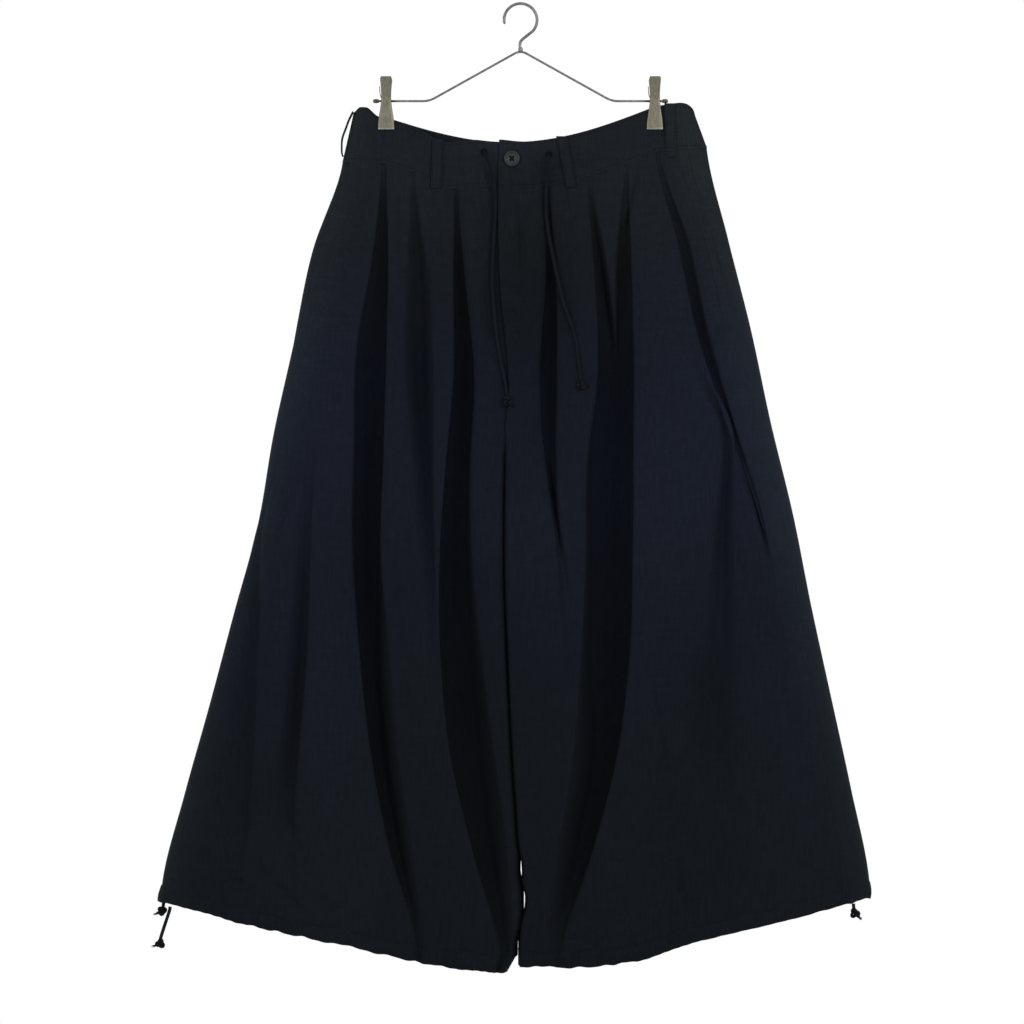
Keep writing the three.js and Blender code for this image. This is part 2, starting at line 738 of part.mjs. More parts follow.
function knotBelow(name, cordName, tail, forward = 0) {
  const [x, y, z] = cordRoutes[cordName].at(-1);
  return knot(name, [x, y - forward, z - 4.4], tail);
}

// The hanger's wire: a shallow gable over two level arms that carry the clips.
function hangerWire() {
  const corner = (x, z) => new THREE.Vector3(x, 0, z);
  const path = new THREE.CurvePath();
  const straight = (a, b) => path.add(new THREE.LineCurve3(a, b));
  const bend = (a, b, c) => path.add(new THREE.QuadraticBezierCurve3(a, b, c));
  const arm = (side, run) => corner(side * (bendOffset + run), -barDrop);
  const rafter = (side, run) => corner(side * (bendOffset - run), -barDrop + wireSlope * run);
  const nearApex = (side) => corner(side * bendEase, -apexDrop - wireSlope * bendEase);
  straight(corner(-tipOffset, -barDrop), arm(-1, bendEase));
  bend(arm(-1, bendEase), arm(-1, 0), rafter(-1, bendEase));
  straight(rafter(-1, bendEase), nearApex(-1));
  bend(nearApex(-1), corner(0, -apexDrop), nearApex(1));
  straight(nearApex(1), rafter(1, bendEase));
  bend(rafter(1, bendEase), arm(1, 0), arm(1, bendEase));
  straight(arm(1, bendEase), corner(tipOffset, -barDrop));
  return named("hanger_wire", tube(path, wireDiameter, 8, 36), materials.wire);
}

// The hook: a stem up from the wire's apex and three quarters of a circle over the rail.
function hangerHook() {
  const centre = -hookRadius + hookWireDiameter / 2;
  const wireTop = -apexDrop - (wireSlope * bendEase) / 2 + wireDiameter / 2;
  const stemTop = centre - hookRadius - 6;
  const points = [new THREE.Vector3(0, 0, wireTop + seamGap), new THREE.Vector3(0, 0, stemTop)];
  const steps = 11;
  for (let i = 0; i <= steps; i++) {
    const angle = hookStart + (i / steps) * hookSweep;
    points.push(new THREE.Vector3(hookRadius * Math.cos(angle), 0, centre + hookRadius * Math.sin(angle)));
  }
  return named("hanger_hook", tube(new THREE.CatmullRomCurve3(points), hookWireDiameter, 8, 26), materials.wire);
}

function hangerTip(side) {
  const profile = [
    [0, 0],
    [tipRadius, 0.6],
    [tipRadius, 5],
    [tipRadius * 0.6, 6.6],
    [0, 7],
  ].map(([x, y]) => new THREE.Vector2(x, y));
  const name = side < 0 ? "hanger_tip_left" : "hanger_tip_right";
  const mesh = named(name, new THREE.LatheGeometry(profile, 10), materials.clip);
  mesh.rotation.z = -side * (Math.PI / 2);
  mesh.position.set(side * (tipOffset + seamGap), 0, -barDrop);
  return mesh;
}

// One plate of a clip: waisted, splayed at the top and closed on the cloth at the bottom.
function clipJaw(name) {
  const levels = [
    { up: 27, half: 6.3, out: 13 },
    { up: 24, half: 6.3, out: 11.8 },
    { up: 12, half: 5.4, out: 7.8 },
    { up: 2, half: 5.3, out: 4.6 },
    { up: -12, half: 7, out: 4.3 },
    { up: -24, half: 8.8, out: 4.2 },
    { up: -33, half: 9.2, out: 4.2 },
  ];
  const grid = levels.map(({ up, half, out }) =>
    [-1, -0.5, 0, 0.5, 1].map((w) => new THREE.Vector3(w * half, -out, up)),
  );
  return named(name, clothSheet({ grid, normals: gridNormals(grid, -1) }, jawThickness), materials.clip);
}

function clip(side) {
  const where = side < 0 ? "left" : "right";
  const group = new THREE.Group();
  group.position.set(side * clipOffset, 0, -barDrop);
  const front = clipJaw(`clip_${where}_front_jaw`);
  const back = clipJaw(`clip_${where}_back_jaw`);
  back.rotation.z = Math.PI;
  const bore = wireDiameter / 2 + seamGap;
  const coil = [
    [bore, -springLength / 2],
    [springRadius, -springLength / 2],
    [springRadius, springLength / 2],
    [bore, springLength / 2],
    [bore, -springLength / 2],
  ].map(([r, y]) => new THREE.Vector2(r, y));
  const spring = named(`clip_${where}_spring`, new THREE.LatheGeometry(coil, 12), materials.wire);
  spring.rotation.z = Math.PI / 2;
  group.add(front, back, spring);
  return group;
}

const garment = new THREE.Group();
for (const side of ["left", "right"]) {
  garment.add(panel("front", side), panel("back", side));
  garment.add(hemCasing("front", side), hemCasing("back", side), pocketEdge(side));
}
for (const [name, piece] of Object.entries(bandCloth())) {
  garment.add(named(name, clothSheet(piece, bandThickness), materials.band));
}
for (const [name, sizes] of Object.entries(beltLoops)) {
  garment.add(beltLoop(name, sizes));
}
garment.add(button(), eyelet("eyelet_left", -42, 0.236), eyelet("eyelet_right", 32.8, 0.33));
garment.add(cord("waist_cord_left", 26), cord("waist_cord_right", 26), cord("hem_cord_left", 10));
garment.add(knotBelow("waist_cord_left_knot", "waist_cord_left", [4.4, 0, -2.6], 2.6));
garment.add(knotBelow("waist_cord_right_knot", "waist_cord_right", [5, 0, -1], 1.8));
garment.add(knotBelow("hem_cord_left_knot", "hem_cord_left", [-4.8, 0, -1.4]));
garment.add(knot("hem_knot_left", [-411.5, -9.5, -1041], [-4.4, 0, -2], { x: -410, top: -1033.8 }));
garment.add(knot("hem_knot_right", [382.4, -31.5, -1042], [4, 0, -3], { x: 381, top: -1033.8 }));

const hanger = new THREE.Group();
hanger.add(hangerWire(), hangerHook(), hangerTip(-1), hangerTip(1), clip(-1), clip(1));

const root = new THREE.Group();
root.add(garment, hanger);
export default root;
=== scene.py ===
# %% [markdown]
# # Wide-leg trousers on a clip hanger
# A pair of near-black, very wide trousers hangs flat from a thin wire hanger.
# Deep pleats fall from the waistband, and cords run through the waist and the hems.
# Each cell below makes one piece of cloth, cord or metal and says why it is made that way.
# All sizes are in millimetres, and `MM` turns them into Blender's metres.

# %% Load the fixed frame
import math

import bmesh
import bpy
import numpy as np
from mathutils import Matrix, Vector, noise


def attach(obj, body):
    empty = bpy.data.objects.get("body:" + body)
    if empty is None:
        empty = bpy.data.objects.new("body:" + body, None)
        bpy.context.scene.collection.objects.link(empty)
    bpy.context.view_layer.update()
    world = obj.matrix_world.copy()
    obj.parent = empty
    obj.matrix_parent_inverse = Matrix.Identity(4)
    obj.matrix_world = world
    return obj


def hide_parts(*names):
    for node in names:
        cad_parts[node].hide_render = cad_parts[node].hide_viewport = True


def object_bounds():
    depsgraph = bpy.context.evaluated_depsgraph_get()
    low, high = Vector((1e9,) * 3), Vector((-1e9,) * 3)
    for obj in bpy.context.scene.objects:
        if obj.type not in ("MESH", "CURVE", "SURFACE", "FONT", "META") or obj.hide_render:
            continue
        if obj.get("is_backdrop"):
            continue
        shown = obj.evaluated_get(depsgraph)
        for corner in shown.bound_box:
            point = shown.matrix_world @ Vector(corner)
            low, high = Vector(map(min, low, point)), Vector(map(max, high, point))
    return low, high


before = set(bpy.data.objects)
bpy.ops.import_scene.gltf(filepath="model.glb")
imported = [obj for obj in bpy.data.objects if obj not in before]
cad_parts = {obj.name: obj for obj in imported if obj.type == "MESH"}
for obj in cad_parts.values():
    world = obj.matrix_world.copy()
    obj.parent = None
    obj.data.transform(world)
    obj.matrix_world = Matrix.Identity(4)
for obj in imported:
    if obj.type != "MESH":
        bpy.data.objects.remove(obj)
cad_low, cad_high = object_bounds()
MM = 0.001
FRONT, BACK = -1, 1
print("CAD nodes:", len(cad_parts))

# %% [markdown]
# ## Camera
# The photograph looks straight at the garment from far away, so its lines stay parallel.
# A long lens six metres off gives that look and still keeps true perspective.

# %% Camera
CAMERA_DISTANCE = 6.0
VIEW_WIDTH = 1.1776
VIEW_CENTRE = (-0.0098, -0.583)

camera_data = bpy.data.cameras.new("camera")
camera_data.sensor_width = 36.0
camera_data.lens = camera_data.sensor_width * CAMERA_DISTANCE / VIEW_WIDTH
camera_data.clip_end = 60.0
camera = bpy.data.objects.new("camera", camera_data)
camera.location = (VIEW_CENTRE[0], -CAMERA_DISTANCE, VIEW_CENTRE[1])
camera.rotation_euler = (math.radians(90), 0, 0)
bpy.context.scene.collection.objects.link(camera)
bpy.context.scene.camera = camera
print("lens", round(camera_data.lens, 1), "mm")

# %% [markdown]
# ## Small helpers of shape
# The cloth is worked out from short tables: how far a fold lies from the middle at nine
# levels between the waist seam and the hem. `along` reads such a column smoothly.

# %% Curves and blends
def mix(a, b, share):
    return a + (b - a) * share


def clamp(value, low=0.0, high=1.0):
    return min(high, max(low, value))


def smooth(share):
    s = clamp(share)
    return s * s * (3 - 2 * s)


def rounded(share):
    s = clamp(share)
    return math.sqrt(s * (2 - s))


def hump(distance):
    return smooth(1 - abs(distance))


def along(column, share):
    spans = len(column) - 1
    at = clamp(share * spans, 0.0, spans - 1e-9)
    i = int(at)
    f = at - i
    a, b, c, d = (column[int(clamp(i + k, 0, spans))] for k in (-1, 0, 1, 2))
    bend = (c - a) * f + (2 * a - 5 * b + 4 * c - d) * f * f
    return b + (bend + (3 * b - a - 3 * c + d) * f ** 3) / 2


print("halfway down a column:", along([0, 1, 4], 0.5))

# %% [markdown]
# ## Shader helpers
# A material is a small graph of nodes. `add_node` makes one node, sets its plain inputs and
# links the others, so the materials below read like recipes. Noise reads Object coordinates,
# and stretching it along one axis turns its blobs into yarns.

# %% Shader helpers
WHITE = (1, 1, 1)


def new_material(name):
    material = bpy.data.materials.new(name)
    material.use_nodes = True
    return material, material.node_tree, material.node_tree.nodes["Principled BSDF"]


def fill(tree, node, inputs):
    for key, value in inputs.items():
        if isinstance(value, bpy.types.NodeSocket):
            tree.links.new(value, node.inputs[key])
        else:
            node.inputs[key].default_value = value


def add_node(tree, kind, inputs, **settings):
    node = tree.nodes.new("ShaderNode" + kind)
    for key, value in settings.items():
        setattr(node, key, value)
    fill(tree, node, inputs)
    return node.outputs


def stretched_noise(tree, scale, stretch, detail=3.0):
    place = add_node(tree, "TexCoord", {})["Object"]
    mapped = add_node(tree, "Mapping", {"Vector": place, "Scale": stretch})["Vector"]
    inputs = {"Vector": mapped, "Scale": scale, "Detail": detail, "Roughness": 0.55}
    return add_node(tree, "TexNoise", inputs)["Fac"]


def ramp(tree, factor, stops):
    """A colour ramp through stops, each a place from 0 to 1 and a colour."""
    band = tree.nodes.new("ShaderNodeValToRGB")
    for _ in stops[2:]:
        band.color_ramp.elements.new(0.5)
    for element, (at, colour) in zip(band.color_ramp.elements, stops):
        element.position = at
        element.color = (*colour, 1)
    tree.links.new(factor, band.inputs["Fac"])
    return band.outputs["Color"]


def mottle(tree, noise_out, dark, light, low=0.35):
    """Two colours (or two grey levels) that follow a noise."""
    return ramp(tree, noise_out, [(low, dark), (1 - low, light)])


def bump(tree, height, strength, distance, **under):
    inputs = {"Height": height, "Strength": strength, "Distance": distance, **under}
    return add_node(tree, "Bump", inputs)["Normal"]


def blend(tree, first, second, factor=1.0, kind="MULTIPLY"):
    inputs = {"Factor": factor, "A": first, "B": second}
    return add_node(tree, "Mix", inputs, data_type="RGBA", blend_type=kind)["Result"]


print("one cloth, cord or metal is one material")

# %% [markdown]
# ## Materials: the cloth
# The cloth is a soft near-black cotton with a navy tint that is strongest half way down. It
# reflects almost nothing from the front and glows a little at its sides, so it needs a dark
# base, a painted rim light along the slanting edges and some sheen. The oval patches are
# soft: one is a painted pool of light on the band round the button, and the others make parts of the front a
# little darker.

# %% Cloth material
HEM_Z, WAIST_Z = -1.12, -0.10
SIDE_MIDDLE, SIDE_SLOPE, SIDE_AT_TOP = -0.005, -0.2455, 0.1624


def down_ramp(tree, height, tints):
    """A colour that changes with height, from the hem (0) to the waist (1)."""
    inputs = {"Value": height, "From Min": HEM_Z, "From Max": WAIST_Z}
    return ramp(tree, add_node(tree, "MapRange", inputs)["Result"], tints)


def soft_patch(tree, place, centre, reach, colour):
    """A colour inside an oval patch that fades to white at its rim."""
    size = (1 / reach[0], 0, 1 / reach[1])
    shift = (-centre[0] / reach[0], 0, -centre[1] / reach[1])
    scaled = add_node(tree, "VectorMath", {0: place, 1: size, 2: shift}, operation="MULTIPLY_ADD")[0]
    far = add_node(tree, "VectorMath", {0: scaled}, operation="LENGTH")["Value"]
    return ramp(tree, far, [(0.1, colour), (1.0, WHITE)])


def painted_rim_light(tree, across, colour):
    """White in the middle, and a painted rim light along both slanting side edges."""
    def reckon(operation, *values):
        return add_node(tree, "Math", dict(enumerate(values)), operation=operation)[0]

    aside = reckon("ABSOLUTE", reckon("SUBTRACT", across["X"], SIDE_MIDDLE))
    edge = reckon("MULTIPLY_ADD", across["Z"], SIDE_SLOPE, SIDE_AT_TOP)
    inside = reckon("SUBTRACT", edge, aside)
    return ramp(tree, inside, [(0.002, colour), (0.040, WHITE)])


def cloth_material(name, tints, sheen):
    material, tree, shader = new_material(name)
    pale, deep = (1.26,) * 3, (0.74,) * 3
    yarn = mottle(tree, stretched_noise(tree, 620, (1, 1, 0.07)), deep, pale, 0.30)
    cross = mottle(tree, stretched_noise(tree, 520, (0.08, 0.08, 1)), deep, pale, 0.30)
    weave = blend(tree, yarn, cross, 0.35, "MIX")
    uneven_dye = mottle(tree, stretched_noise(tree, 7, (1, 1, 0.5), 2.0), (0.92,) * 3, (1.08,) * 3)
    place = add_node(tree, "TexCoord", {})["Object"]
    across = add_node(tree, "SeparateXYZ", {"Vector": place})
    tone = blend(tree, blend(tree, weave, uneven_dye), down_ramp(tree, across["Z"], tints))
    # Each oval patch multiplies the tone; the first one paints a pool of light on the band.
    for centre, reach, patch_colour in TONE_PATCHES_AND_PAINTED_LIGHT:
        tone = blend(tree, tone, soft_patch(tree, place, centre, reach, patch_colour))
    # Painted rim light: both side edges of the cloth are made lighter.
    tone = blend(tree, tone, painted_rim_light(tree, across, PAINTED_RIM_LIGHT))
    slub = bump(tree, stretched_noise(tree, 260, (1, 1, 0.05), 2.0), 0.35, 0.0006)
    grain = bump(tree, stretched_noise(tree, 900, (1, 1, 0.22), 2.0), 0.30, 0.0004, Normal=slub)
    fill(tree, shader, {
        "Base Color": tone, "Normal": grain, "Roughness": 0.88, "Specular IOR Level": 0.05,
        "Sheen Weight": sheen, "Sheen Roughness": 0.5, "Sheen Tint": (0.72, 0.92, 0.94, 1),
    })
    return material


# The first patch is a painted pool of light on the band round the button; the others are darker patches of
# tone.
TONE_PATCHES_AND_PAINTED_LIGHT = [
    ((-0.01, -0.160), (0.075, 0.035), (1.38, 1.40, 1.40)),
    ((0.00, -0.355), (0.185, 0.230), (0.66, 0.68, 0.58)),
    ((-0.02, -0.800), (0.200, 0.420), (0.84, 0.86, 0.80)),
    ((0.21, -0.800), (0.110, 0.260), (0.80, 0.80, 0.76)),
    ((-0.12, -0.640), (0.110, 0.340), (0.87, 0.87, 0.80)),
]
# Painted rim light: a lighter, greener colour along the side edges, standing in for the glow of grazing light
# at the silhouette.
PAINTED_RIM_LIGHT = (1.45, 1.54, 1.34)
BAND_TINT, UPPER_TINT = (0.0070, 0.0086, 0.0112), (0.0064, 0.0079, 0.0112)
HEM_TINT, LOW_TINT, MIDDLE_TINT = (0.0039, 0.0051, 0.0071), (0.0044, 0.0057, 0.0086), (0.0055, 0.0073, 0.0134)
CLOTH = cloth_material(
    "navy_black_cotton",
    [(0.02, HEM_TINT), (0.26, LOW_TINT), (0.53, MIDDLE_TINT), (0.69, MIDDLE_TINT),
     (0.82, UPPER_TINT), (0.93, BAND_TINT)], 0.006,
)
BAND = cloth_material("waistband_cotton", [(0.0, BAND_TINT), (1.0, BAND_TINT)], 0.008)
print("cloth materials:", CLOTH.name, BAND.name)

# %% [markdown]
# ## Materials: cord, thread, button and metal
# The drawcords are braided, so a fine crossing pattern runs round them. It follows the
# piece's own UV map, because the cord bends. The button is dull plastic, the wire is plain
# steel and the clips are plated a dull olive brass with brushed marks along them.

# %% Cord and thread materials
def braid_material(name, colour, around, along_cord):
    material, tree, shader = new_material(name)
    uv = add_node(tree, "UVMap", {}, uv_map="cloth")["UV"]
    waves = []
    for turn in (1, -1):
        inputs = {"Vector": uv, "Scale": (around * turn, along_cord, 1)}
        inputs = {"Vector": add_node(tree, "Mapping", inputs)["Vector"], "Scale": 1.0}
        waves.append(add_node(tree, "TexWave", inputs, bands_direction="DIAGONAL")["Fac"])
    top = add_node(tree, "Math", dict(enumerate(waves)), operation="MAXIMUM")[0]
    dark, light = (tuple(c * share for c in colour) for share in (0.7, 1.3))
    fill(tree, shader, {
        "Base Color": mottle(tree, top, dark, light), "Normal": bump(tree, top, 0.6, 0.0006),
        "Roughness": 0.9, "Specular IOR Level": 0.03,
    })
    return material


def plain_material(name, dark, light, scale, roughness, **more):
    """more: metal, level (of gloss), strength (of bump) and stretch (of noise)."""
    material, tree, shader = new_material(name)
    factor = stretched_noise(tree, scale, more.get("stretch", (1, 1, 1)))
    fill(tree, shader, {
        "Base Color": mottle(tree, factor, dark, light),
        "Normal": bump(tree, factor, more.get("strength", 0.2), 0.0003),
        "Roughness": roughness, "Metallic": more.get("metal", 0.0),
        "Specular IOR Level": more.get("level", 0.5),
    })
    return material


CORD = braid_material("braided_cord", (0.0052, 0.0064, 0.0084), 3.0, 320.0)
THREAD = plain_material(
    "sewing_thread", (0.0036, 0.0044, 0.0060), (0.0056, 0.0068, 0.0090), 900, 0.85, level=0.05
)
BUTTON = plain_material(
    "dull_button", (0.0088, 0.0100, 0.0122), (0.0135, 0.0152, 0.0180), 180, 0.32, level=0.28
)
STEEL = plain_material(
    "hanger_steel", (0.12, 0.115, 0.12), (0.20, 0.195, 0.205), 300, 0.32, metal=1.0, strength=0.1
)
BRASS = plain_material(
    "olive_brass", (0.125, 0.118, 0.086), (0.190, 0.182, 0.138), 900, 0.42,
    metal=1.0, stretch=(1, 1, 0.12), strength=0.12,
)
TIP_METAL = plain_material(
    "dark_tip", (0.050, 0.046, 0.036), (0.110, 0.098, 0.070), 300, 0.36, metal=1.0, strength=0.1
)
BRIGHT = plain_material(
    "bright_lip", (0.20, 0.20, 0.17), (0.27, 0.27, 0.24), 300, 0.30, metal=1.0, strength=0.05
)
print("materials made:", len(bpy.data.materials))

# %% [markdown]
# ## How a mesh is made here
# Sheets start as a flat grid from `bmesh.ops.create_grid`, and each vertex is then moved to
# its place on the cloth. A UV map called "cloth" keeps the grid's own columns and rows for
# the braid pattern.

# %% Grid helpers
def object_from(bm, name, material):
    mesh = bpy.data.meshes.new(name)
    bm.to_mesh(mesh)
    bm.free()
    mesh.polygons.foreach_set("use_smooth", [True] * len(mesh.polygons))
    mesh.materials.append(material)
    made = bpy.data.objects.new(name, mesh)
    bpy.context.scene.collection.objects.link(made)
    return made


def grid_of(places, reach=(1.0, 1.0)):
    rows, columns = len(places), len(places[0])
    bm = bmesh.new()
    bmesh.ops.create_grid(bm, x_segments=columns - 1, y_segments=rows - 1, size=0.5)
    bm.verts.ensure_lookup_table()
    uv = bm.loops.layers.uv.new("cloth")
    for face in bm.faces:
        for loop in face.loops:
            row, column = divmod(loop.vert.index, columns)
            loop[uv].uv = (reach[0] * column / (columns - 1), reach[1] * row / (rows - 1))
    flat = [place for row in places for place in row]
    for vert, place in zip(bm.verts, flat):
        vert.co = Vector(place) * MM
    return bm


def thicken(made, thickness, rim=None):
    wall = made.modifiers.new("wall", "SOLIDIFY")
    wall.thickness = thickness * MM
    wall.offset = 0.0
    if rim:
        edge = made.modifiers.new("soft edge", "BEVEL")
        edge.width = rim * MM
        edge.segments = 2
        edge.limit_method = "ANGLE"
        edge.angle_limit = math.radians(50)


print("helpers: grids of points with one thickness")

# %% [markdown]
# ## Tubes and turned parts
# A tube is a grid whose rows are rings round a line. A turned part is a profile spun round
# its axis. Each finished piece then rides the frame and names the CAD nodes it stands for.

# %% Tubes and turned parts
def tube_along(name, places, radii, material, sides=12):
    line = [Vector(p) for p in places]
    sizes = radii if isinstance(radii, (list, tuple)) else [radii] * len(line)
    ends = [line[0]] + line + [line[-1]]
    ways = [(after - before).normalized() for before, after in zip(ends, ends[2:])]
    side = ways[0].orthogonal().normalized()
    rings = []
    for point, way, size in zip(line, ways, sizes):
        side = (side - way * side.dot(way)).normalized()
        other = way.cross(side)
        turns = [2 * math.pi * k / sides for k in range(sides + 1)]
        rings.append([point + (side * math.cos(t) + other * math.sin(t)) * size for t in turns])
    length = sum((b - a).length for a, b in zip(line, line[1:]))
    bm = grid_of(rings, (1.0, length * MM))
    bmesh.ops.remove_doubles(bm, verts=bm.verts, dist=1e-7)
    bmesh.ops.holes_fill(bm, edges=[e for e in bm.edges if e.is_boundary], sides=0)
    bmesh.ops.recalc_face_normals(bm, faces=bm.faces)
    return object_from(bm, name, material)


def smooth_line(points, steps):
    total = (len(points) - 1) * steps
    columns = list(zip(*points))
    return [tuple(along(column, i / total) for column in columns) for i in range(total + 1)]


def lathe(name, profile, material, steps=32):
    bm = bmesh.new()
    verts = [bm.verts.new((r * MM, 0, h * MM)) for r, h in profile]
    edges = [bm.edges.new(pair) for pair in zip(verts, verts[1:])]
    bmesh.ops.spin(
        bm, geom=verts + edges, cent=(0, 0, 0), axis=(0, 0, 1), angle=2 * math.pi,
        steps=steps, use_merge=True,
    )
    bmesh.ops.remove_doubles(bm, verts=bm.verts, dist=1e-7)
    bmesh.ops.recalc_face_normals(bm, faces=bm.faces)
    return object_from(bm, name, material)


def place(made, matrix):
    made.data.transform(matrix)
    return made


def ride(made, slot, *nodes):
    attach(made, "root")
    if nodes:
        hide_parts(*nodes)
    return made


print("helpers: tubes, turned parts, and pieces that ride the frame")

# %% [markdown]
# ## The drawcords
# The two ends of the waist cord come out of eyelets beside the button, bend down at once
# and lie on the front. The routes are the same lines that the CAD cords follow, set down
# point by point. The left hem cord hangs free below the corner of the hem.

# %% Waist and hem cords
CORD_RADIUS = 2.0
CORD_ROUTES = {
    "waist_cord_left": [
        (-42, -11.6, -169), (-42, -13.2, -169.1), (-41.6, -17.2, -170.2), (-40.4, -20.2, -173.4),
        (-38.4, -21.2, -178), (-35.6, -20.6, -184.5), (-32.8, -19.2, -193), (-30.6, -17.6, -204),
        (-29, -16.4, -218.5), (-28.8, -15.7, -232), (-29.3, -15.6, -247), (-30.5, -17, -264),
        (-31.6, -19.1, -282), (-32.4, -21.3, -299), (-32.6, -24.4, -316), (-32, -27.9, -334),
        (-30.5, -30.9, -351), (-29, -33.5, -368), (-27, -35.8, -385), (-24.6, -37.5, -400),
        (-22, -39, -414), (-19.2, -40.2, -427), (-16.8, -41.3, -440), (-15, -42.4, -452),
    ],
    "waist_cord_right": [
        (32.8, -12, -172.5), (32.8, -13.6, -172.6), (32.6, -17.6, -173.7), (32.2, -20.6, -176.9),
        (31.6, -21.6, -181.5), (30.8, -21, -188), (30, -19.6, -197), (29.4, -18, -208),
        (29.2, -16.8, -220), (29.2, -16.2, -232), (29.6, -16, -244), (32, -17.4, -263),
        (36, -19.7, -284), (40.4, -23.2, -306), (44.9, -28.1, -327), (49.6, -32.4, -345),
        (55.4, -35.8, -361.5), (60.6, -37.5, -377), (64, -39.1, -392), (65.8, -41, -408),
        (67.4, -42.5, -421), (69.2, -43.4, -434),
    ],
    "hem_cord_left": [
        (-401.4, -25.4, -1035), (-401.5, -25.4, -1037), (-402, -25.4, -1039.4),
        (-402.8, -25.4, -1042), (-403.7, -25.3, -1044.7), (-404.6, -25.3, -1047.4),
        (-405.5, -25.2, -1050.1), (-406.4, -25.2, -1052.8), (-407.3, -25.1, -1055.5),
        (-408.2, -25.1, -1058.2), (-409.1, -25, -1061), (-410, -25, -1063.8),
        (-410.9, -24.9, -1066.6), (-411.8, -24.8, -1069.6), (-412.7, -24.8, -1072.8),
    ],
}


def length_of(line):
    return sum((Vector(b) - Vector(a)).length for a, b in zip(line, line[1:]))


cord_lines = {name: smooth_line(route, 6) for name, route in CORD_ROUTES.items()}
for name, line in cord_lines.items():
    ride(tube_along("braid_" + name, line, CORD_RADIUS, CORD), "cord", name)
    print(name, "is", round(length_of(line)), "mm long")

# %% [markdown]
# ## The knots
# Each cord ends in an overhand knot. Its line is a small trefoil, which is what an overhand
# knot pulled tight looks like, and a short frayed tail of loose yarns leaves it.

# %% Knots and frayed tails
KNOT_STEPS, TAIL_YARNS = 48, 11


def knot_line(centre, size, turn):
    points = []
    for i in range(KNOT_STEPS + 1):
        t = 2 * math.pi * (0.02 + 0.96 * i / KNOT_STEPS)
        x = (math.sin(t) + 2 * math.sin(2 * t)) * size / 3
        z = (math.cos(t) - 2 * math.cos(2 * t)) * size / 3
        y = -math.sin(3 * t) * size * 0.42
        spun = Vector((x, y, z))
        spun.rotate(Matrix.Rotation(turn, 3, "Y"))
        points.append(tuple(Vector(centre) + spun))
    return points


def join_meshes(name, parts, material):
    bm = bmesh.new()
    for part in parts:
        bm.from_mesh(part.data)
        bpy.data.objects.remove(part)
    return object_from(bm, name, material)


def knot(name, centre, tail, neck=None, size=4.6, turn=0.0):
    parts = [tube_along(name + "_turns", knot_line(centre, size, turn), CORD_RADIUS * 0.88, CORD, 10)]
    start = Vector(centre)
    end = start + Vector(tail)
    middle = start.lerp(end, 0.5) + Vector((0, -0.8, 0))
    line = smooth_line([tuple(start), tuple(middle), tuple(end)], 4)
    parts.append(tube_along(name + "_tail", line, [1.9] * 5 + [1.8, 1.7, 1.5, 1.2], CORD, 10))
    way = (end - start).normalized()
    for k in range(TAIL_YARNS):
        spread = Vector((math.sin(2.4 * k), 0.6 * math.cos(1.7 * k), math.cos(2.4 * k)))
        spread *= 0.5 + 0.14 * (k % 4)
        first = end - way * 1.2 + spread * 0.8
        last = end + way * (2.4 + 0.5 * (k % 3)) + spread * 2.0
        mid = first.lerp(last, 0.5) + spread * 0.3
        yarn = [tuple(first), tuple(mid), tuple(last)]
        parts.append(tube_along(f"{name}_yarn_{k}", yarn, [0.32, 0.26, 0.14], CORD, 5))
    if neck:
        parts.append(tube_along(name + "_neck", smooth_line(neck, 4), CORD_RADIUS, CORD, 10))
    return ride(join_meshes("tied_" + name, parts, CORD), "cord", name)


KNOTS = {
    "waist_cord_left_knot": dict(centre=(-15, -45, -456.4), tail=(4.4, 0, -4.6), turn=0.4),
    "waist_cord_right_knot": dict(centre=(69.2, -45.2, -438.4), tail=(6.0, 0, -1.6), turn=0.9),
    "hem_cord_left_knot": dict(centre=(-412.7, -24.8, -1077.2), tail=(-6.0, 0, -2.4), turn=1.3),
    "hem_knot_left": dict(
        centre=(-411.5, -9.5, -1041), tail=(-6.4, 0, -3), size=4.4, turn=0.2,
        neck=[(-409.6, -9.5, -1031), (-410.4, -9.5, -1036), (-411.5, -9.5, -1041)],
    ),
    "hem_knot_right": dict(
        centre=(382.4, -31.5, -1042), tail=(5.4, 0, -5), size=4.8, turn=0.7,
        neck=[(380.8, -31.5, -1031), (381.2, -31.5, -1036), (382.4, -31.5, -1042)],
    ),
}
knots = {name: knot(name, **facts) for name, facts in KNOTS.items()}
print("knots:", len(knots))

# %% [markdown]
# ## The waistband's line
# Two clips hold the band, so it sags between them like a loose rope and lifts a little at
# the sides. The front sags lower than the back, so a strip of the back's inside shows.

# %% Band levels and sections
BAND_HEIGHT, CASING_HEIGHT = 53.0, 22.0
CLIP_OFFSET, SIDE_REACH = 154.5, 190.0
BAND_OUTER = {"left": (-191.0, -204.0), "right": (199.0, 213.5)}
SEAM_HALF, SEAM_BULGE = 6.5, 6.5


def between_clips(x):
    past = (abs(x) - CLIP_OFFSET) / (SIDE_REACH - CLIP_OFFSET)
    if past > 0:
        return -0.09 * math.sin(min(1, past) * math.pi / 2)
    return math.cos(x / CLIP_OFFSET * math.pi / 2)


def band_level(x, drop, face):
    droop = 9.0 * hump((x + 88) / 40)
    front = droop + max(0, between_clips(x)) if face == FRONT else 0.0
    left = 10.0 * smooth((-162 - x) / 16) * (1 - 0.6 * smooth((-184 - x) / 8))
    right = 4.0 * smooth((x - 182) / 20) + 9.0 * (1 - rounded((199 - x) / 10))
    corners = (left - right) * (1 - drop)
    return -123 + 0.041 * x - 34 * between_clips(x) - front + corners - drop * BAND_HEIGHT


def half_at_seam(x):
    return SEAM_HALF + SEAM_BULGE * max(0, between_clips(x))


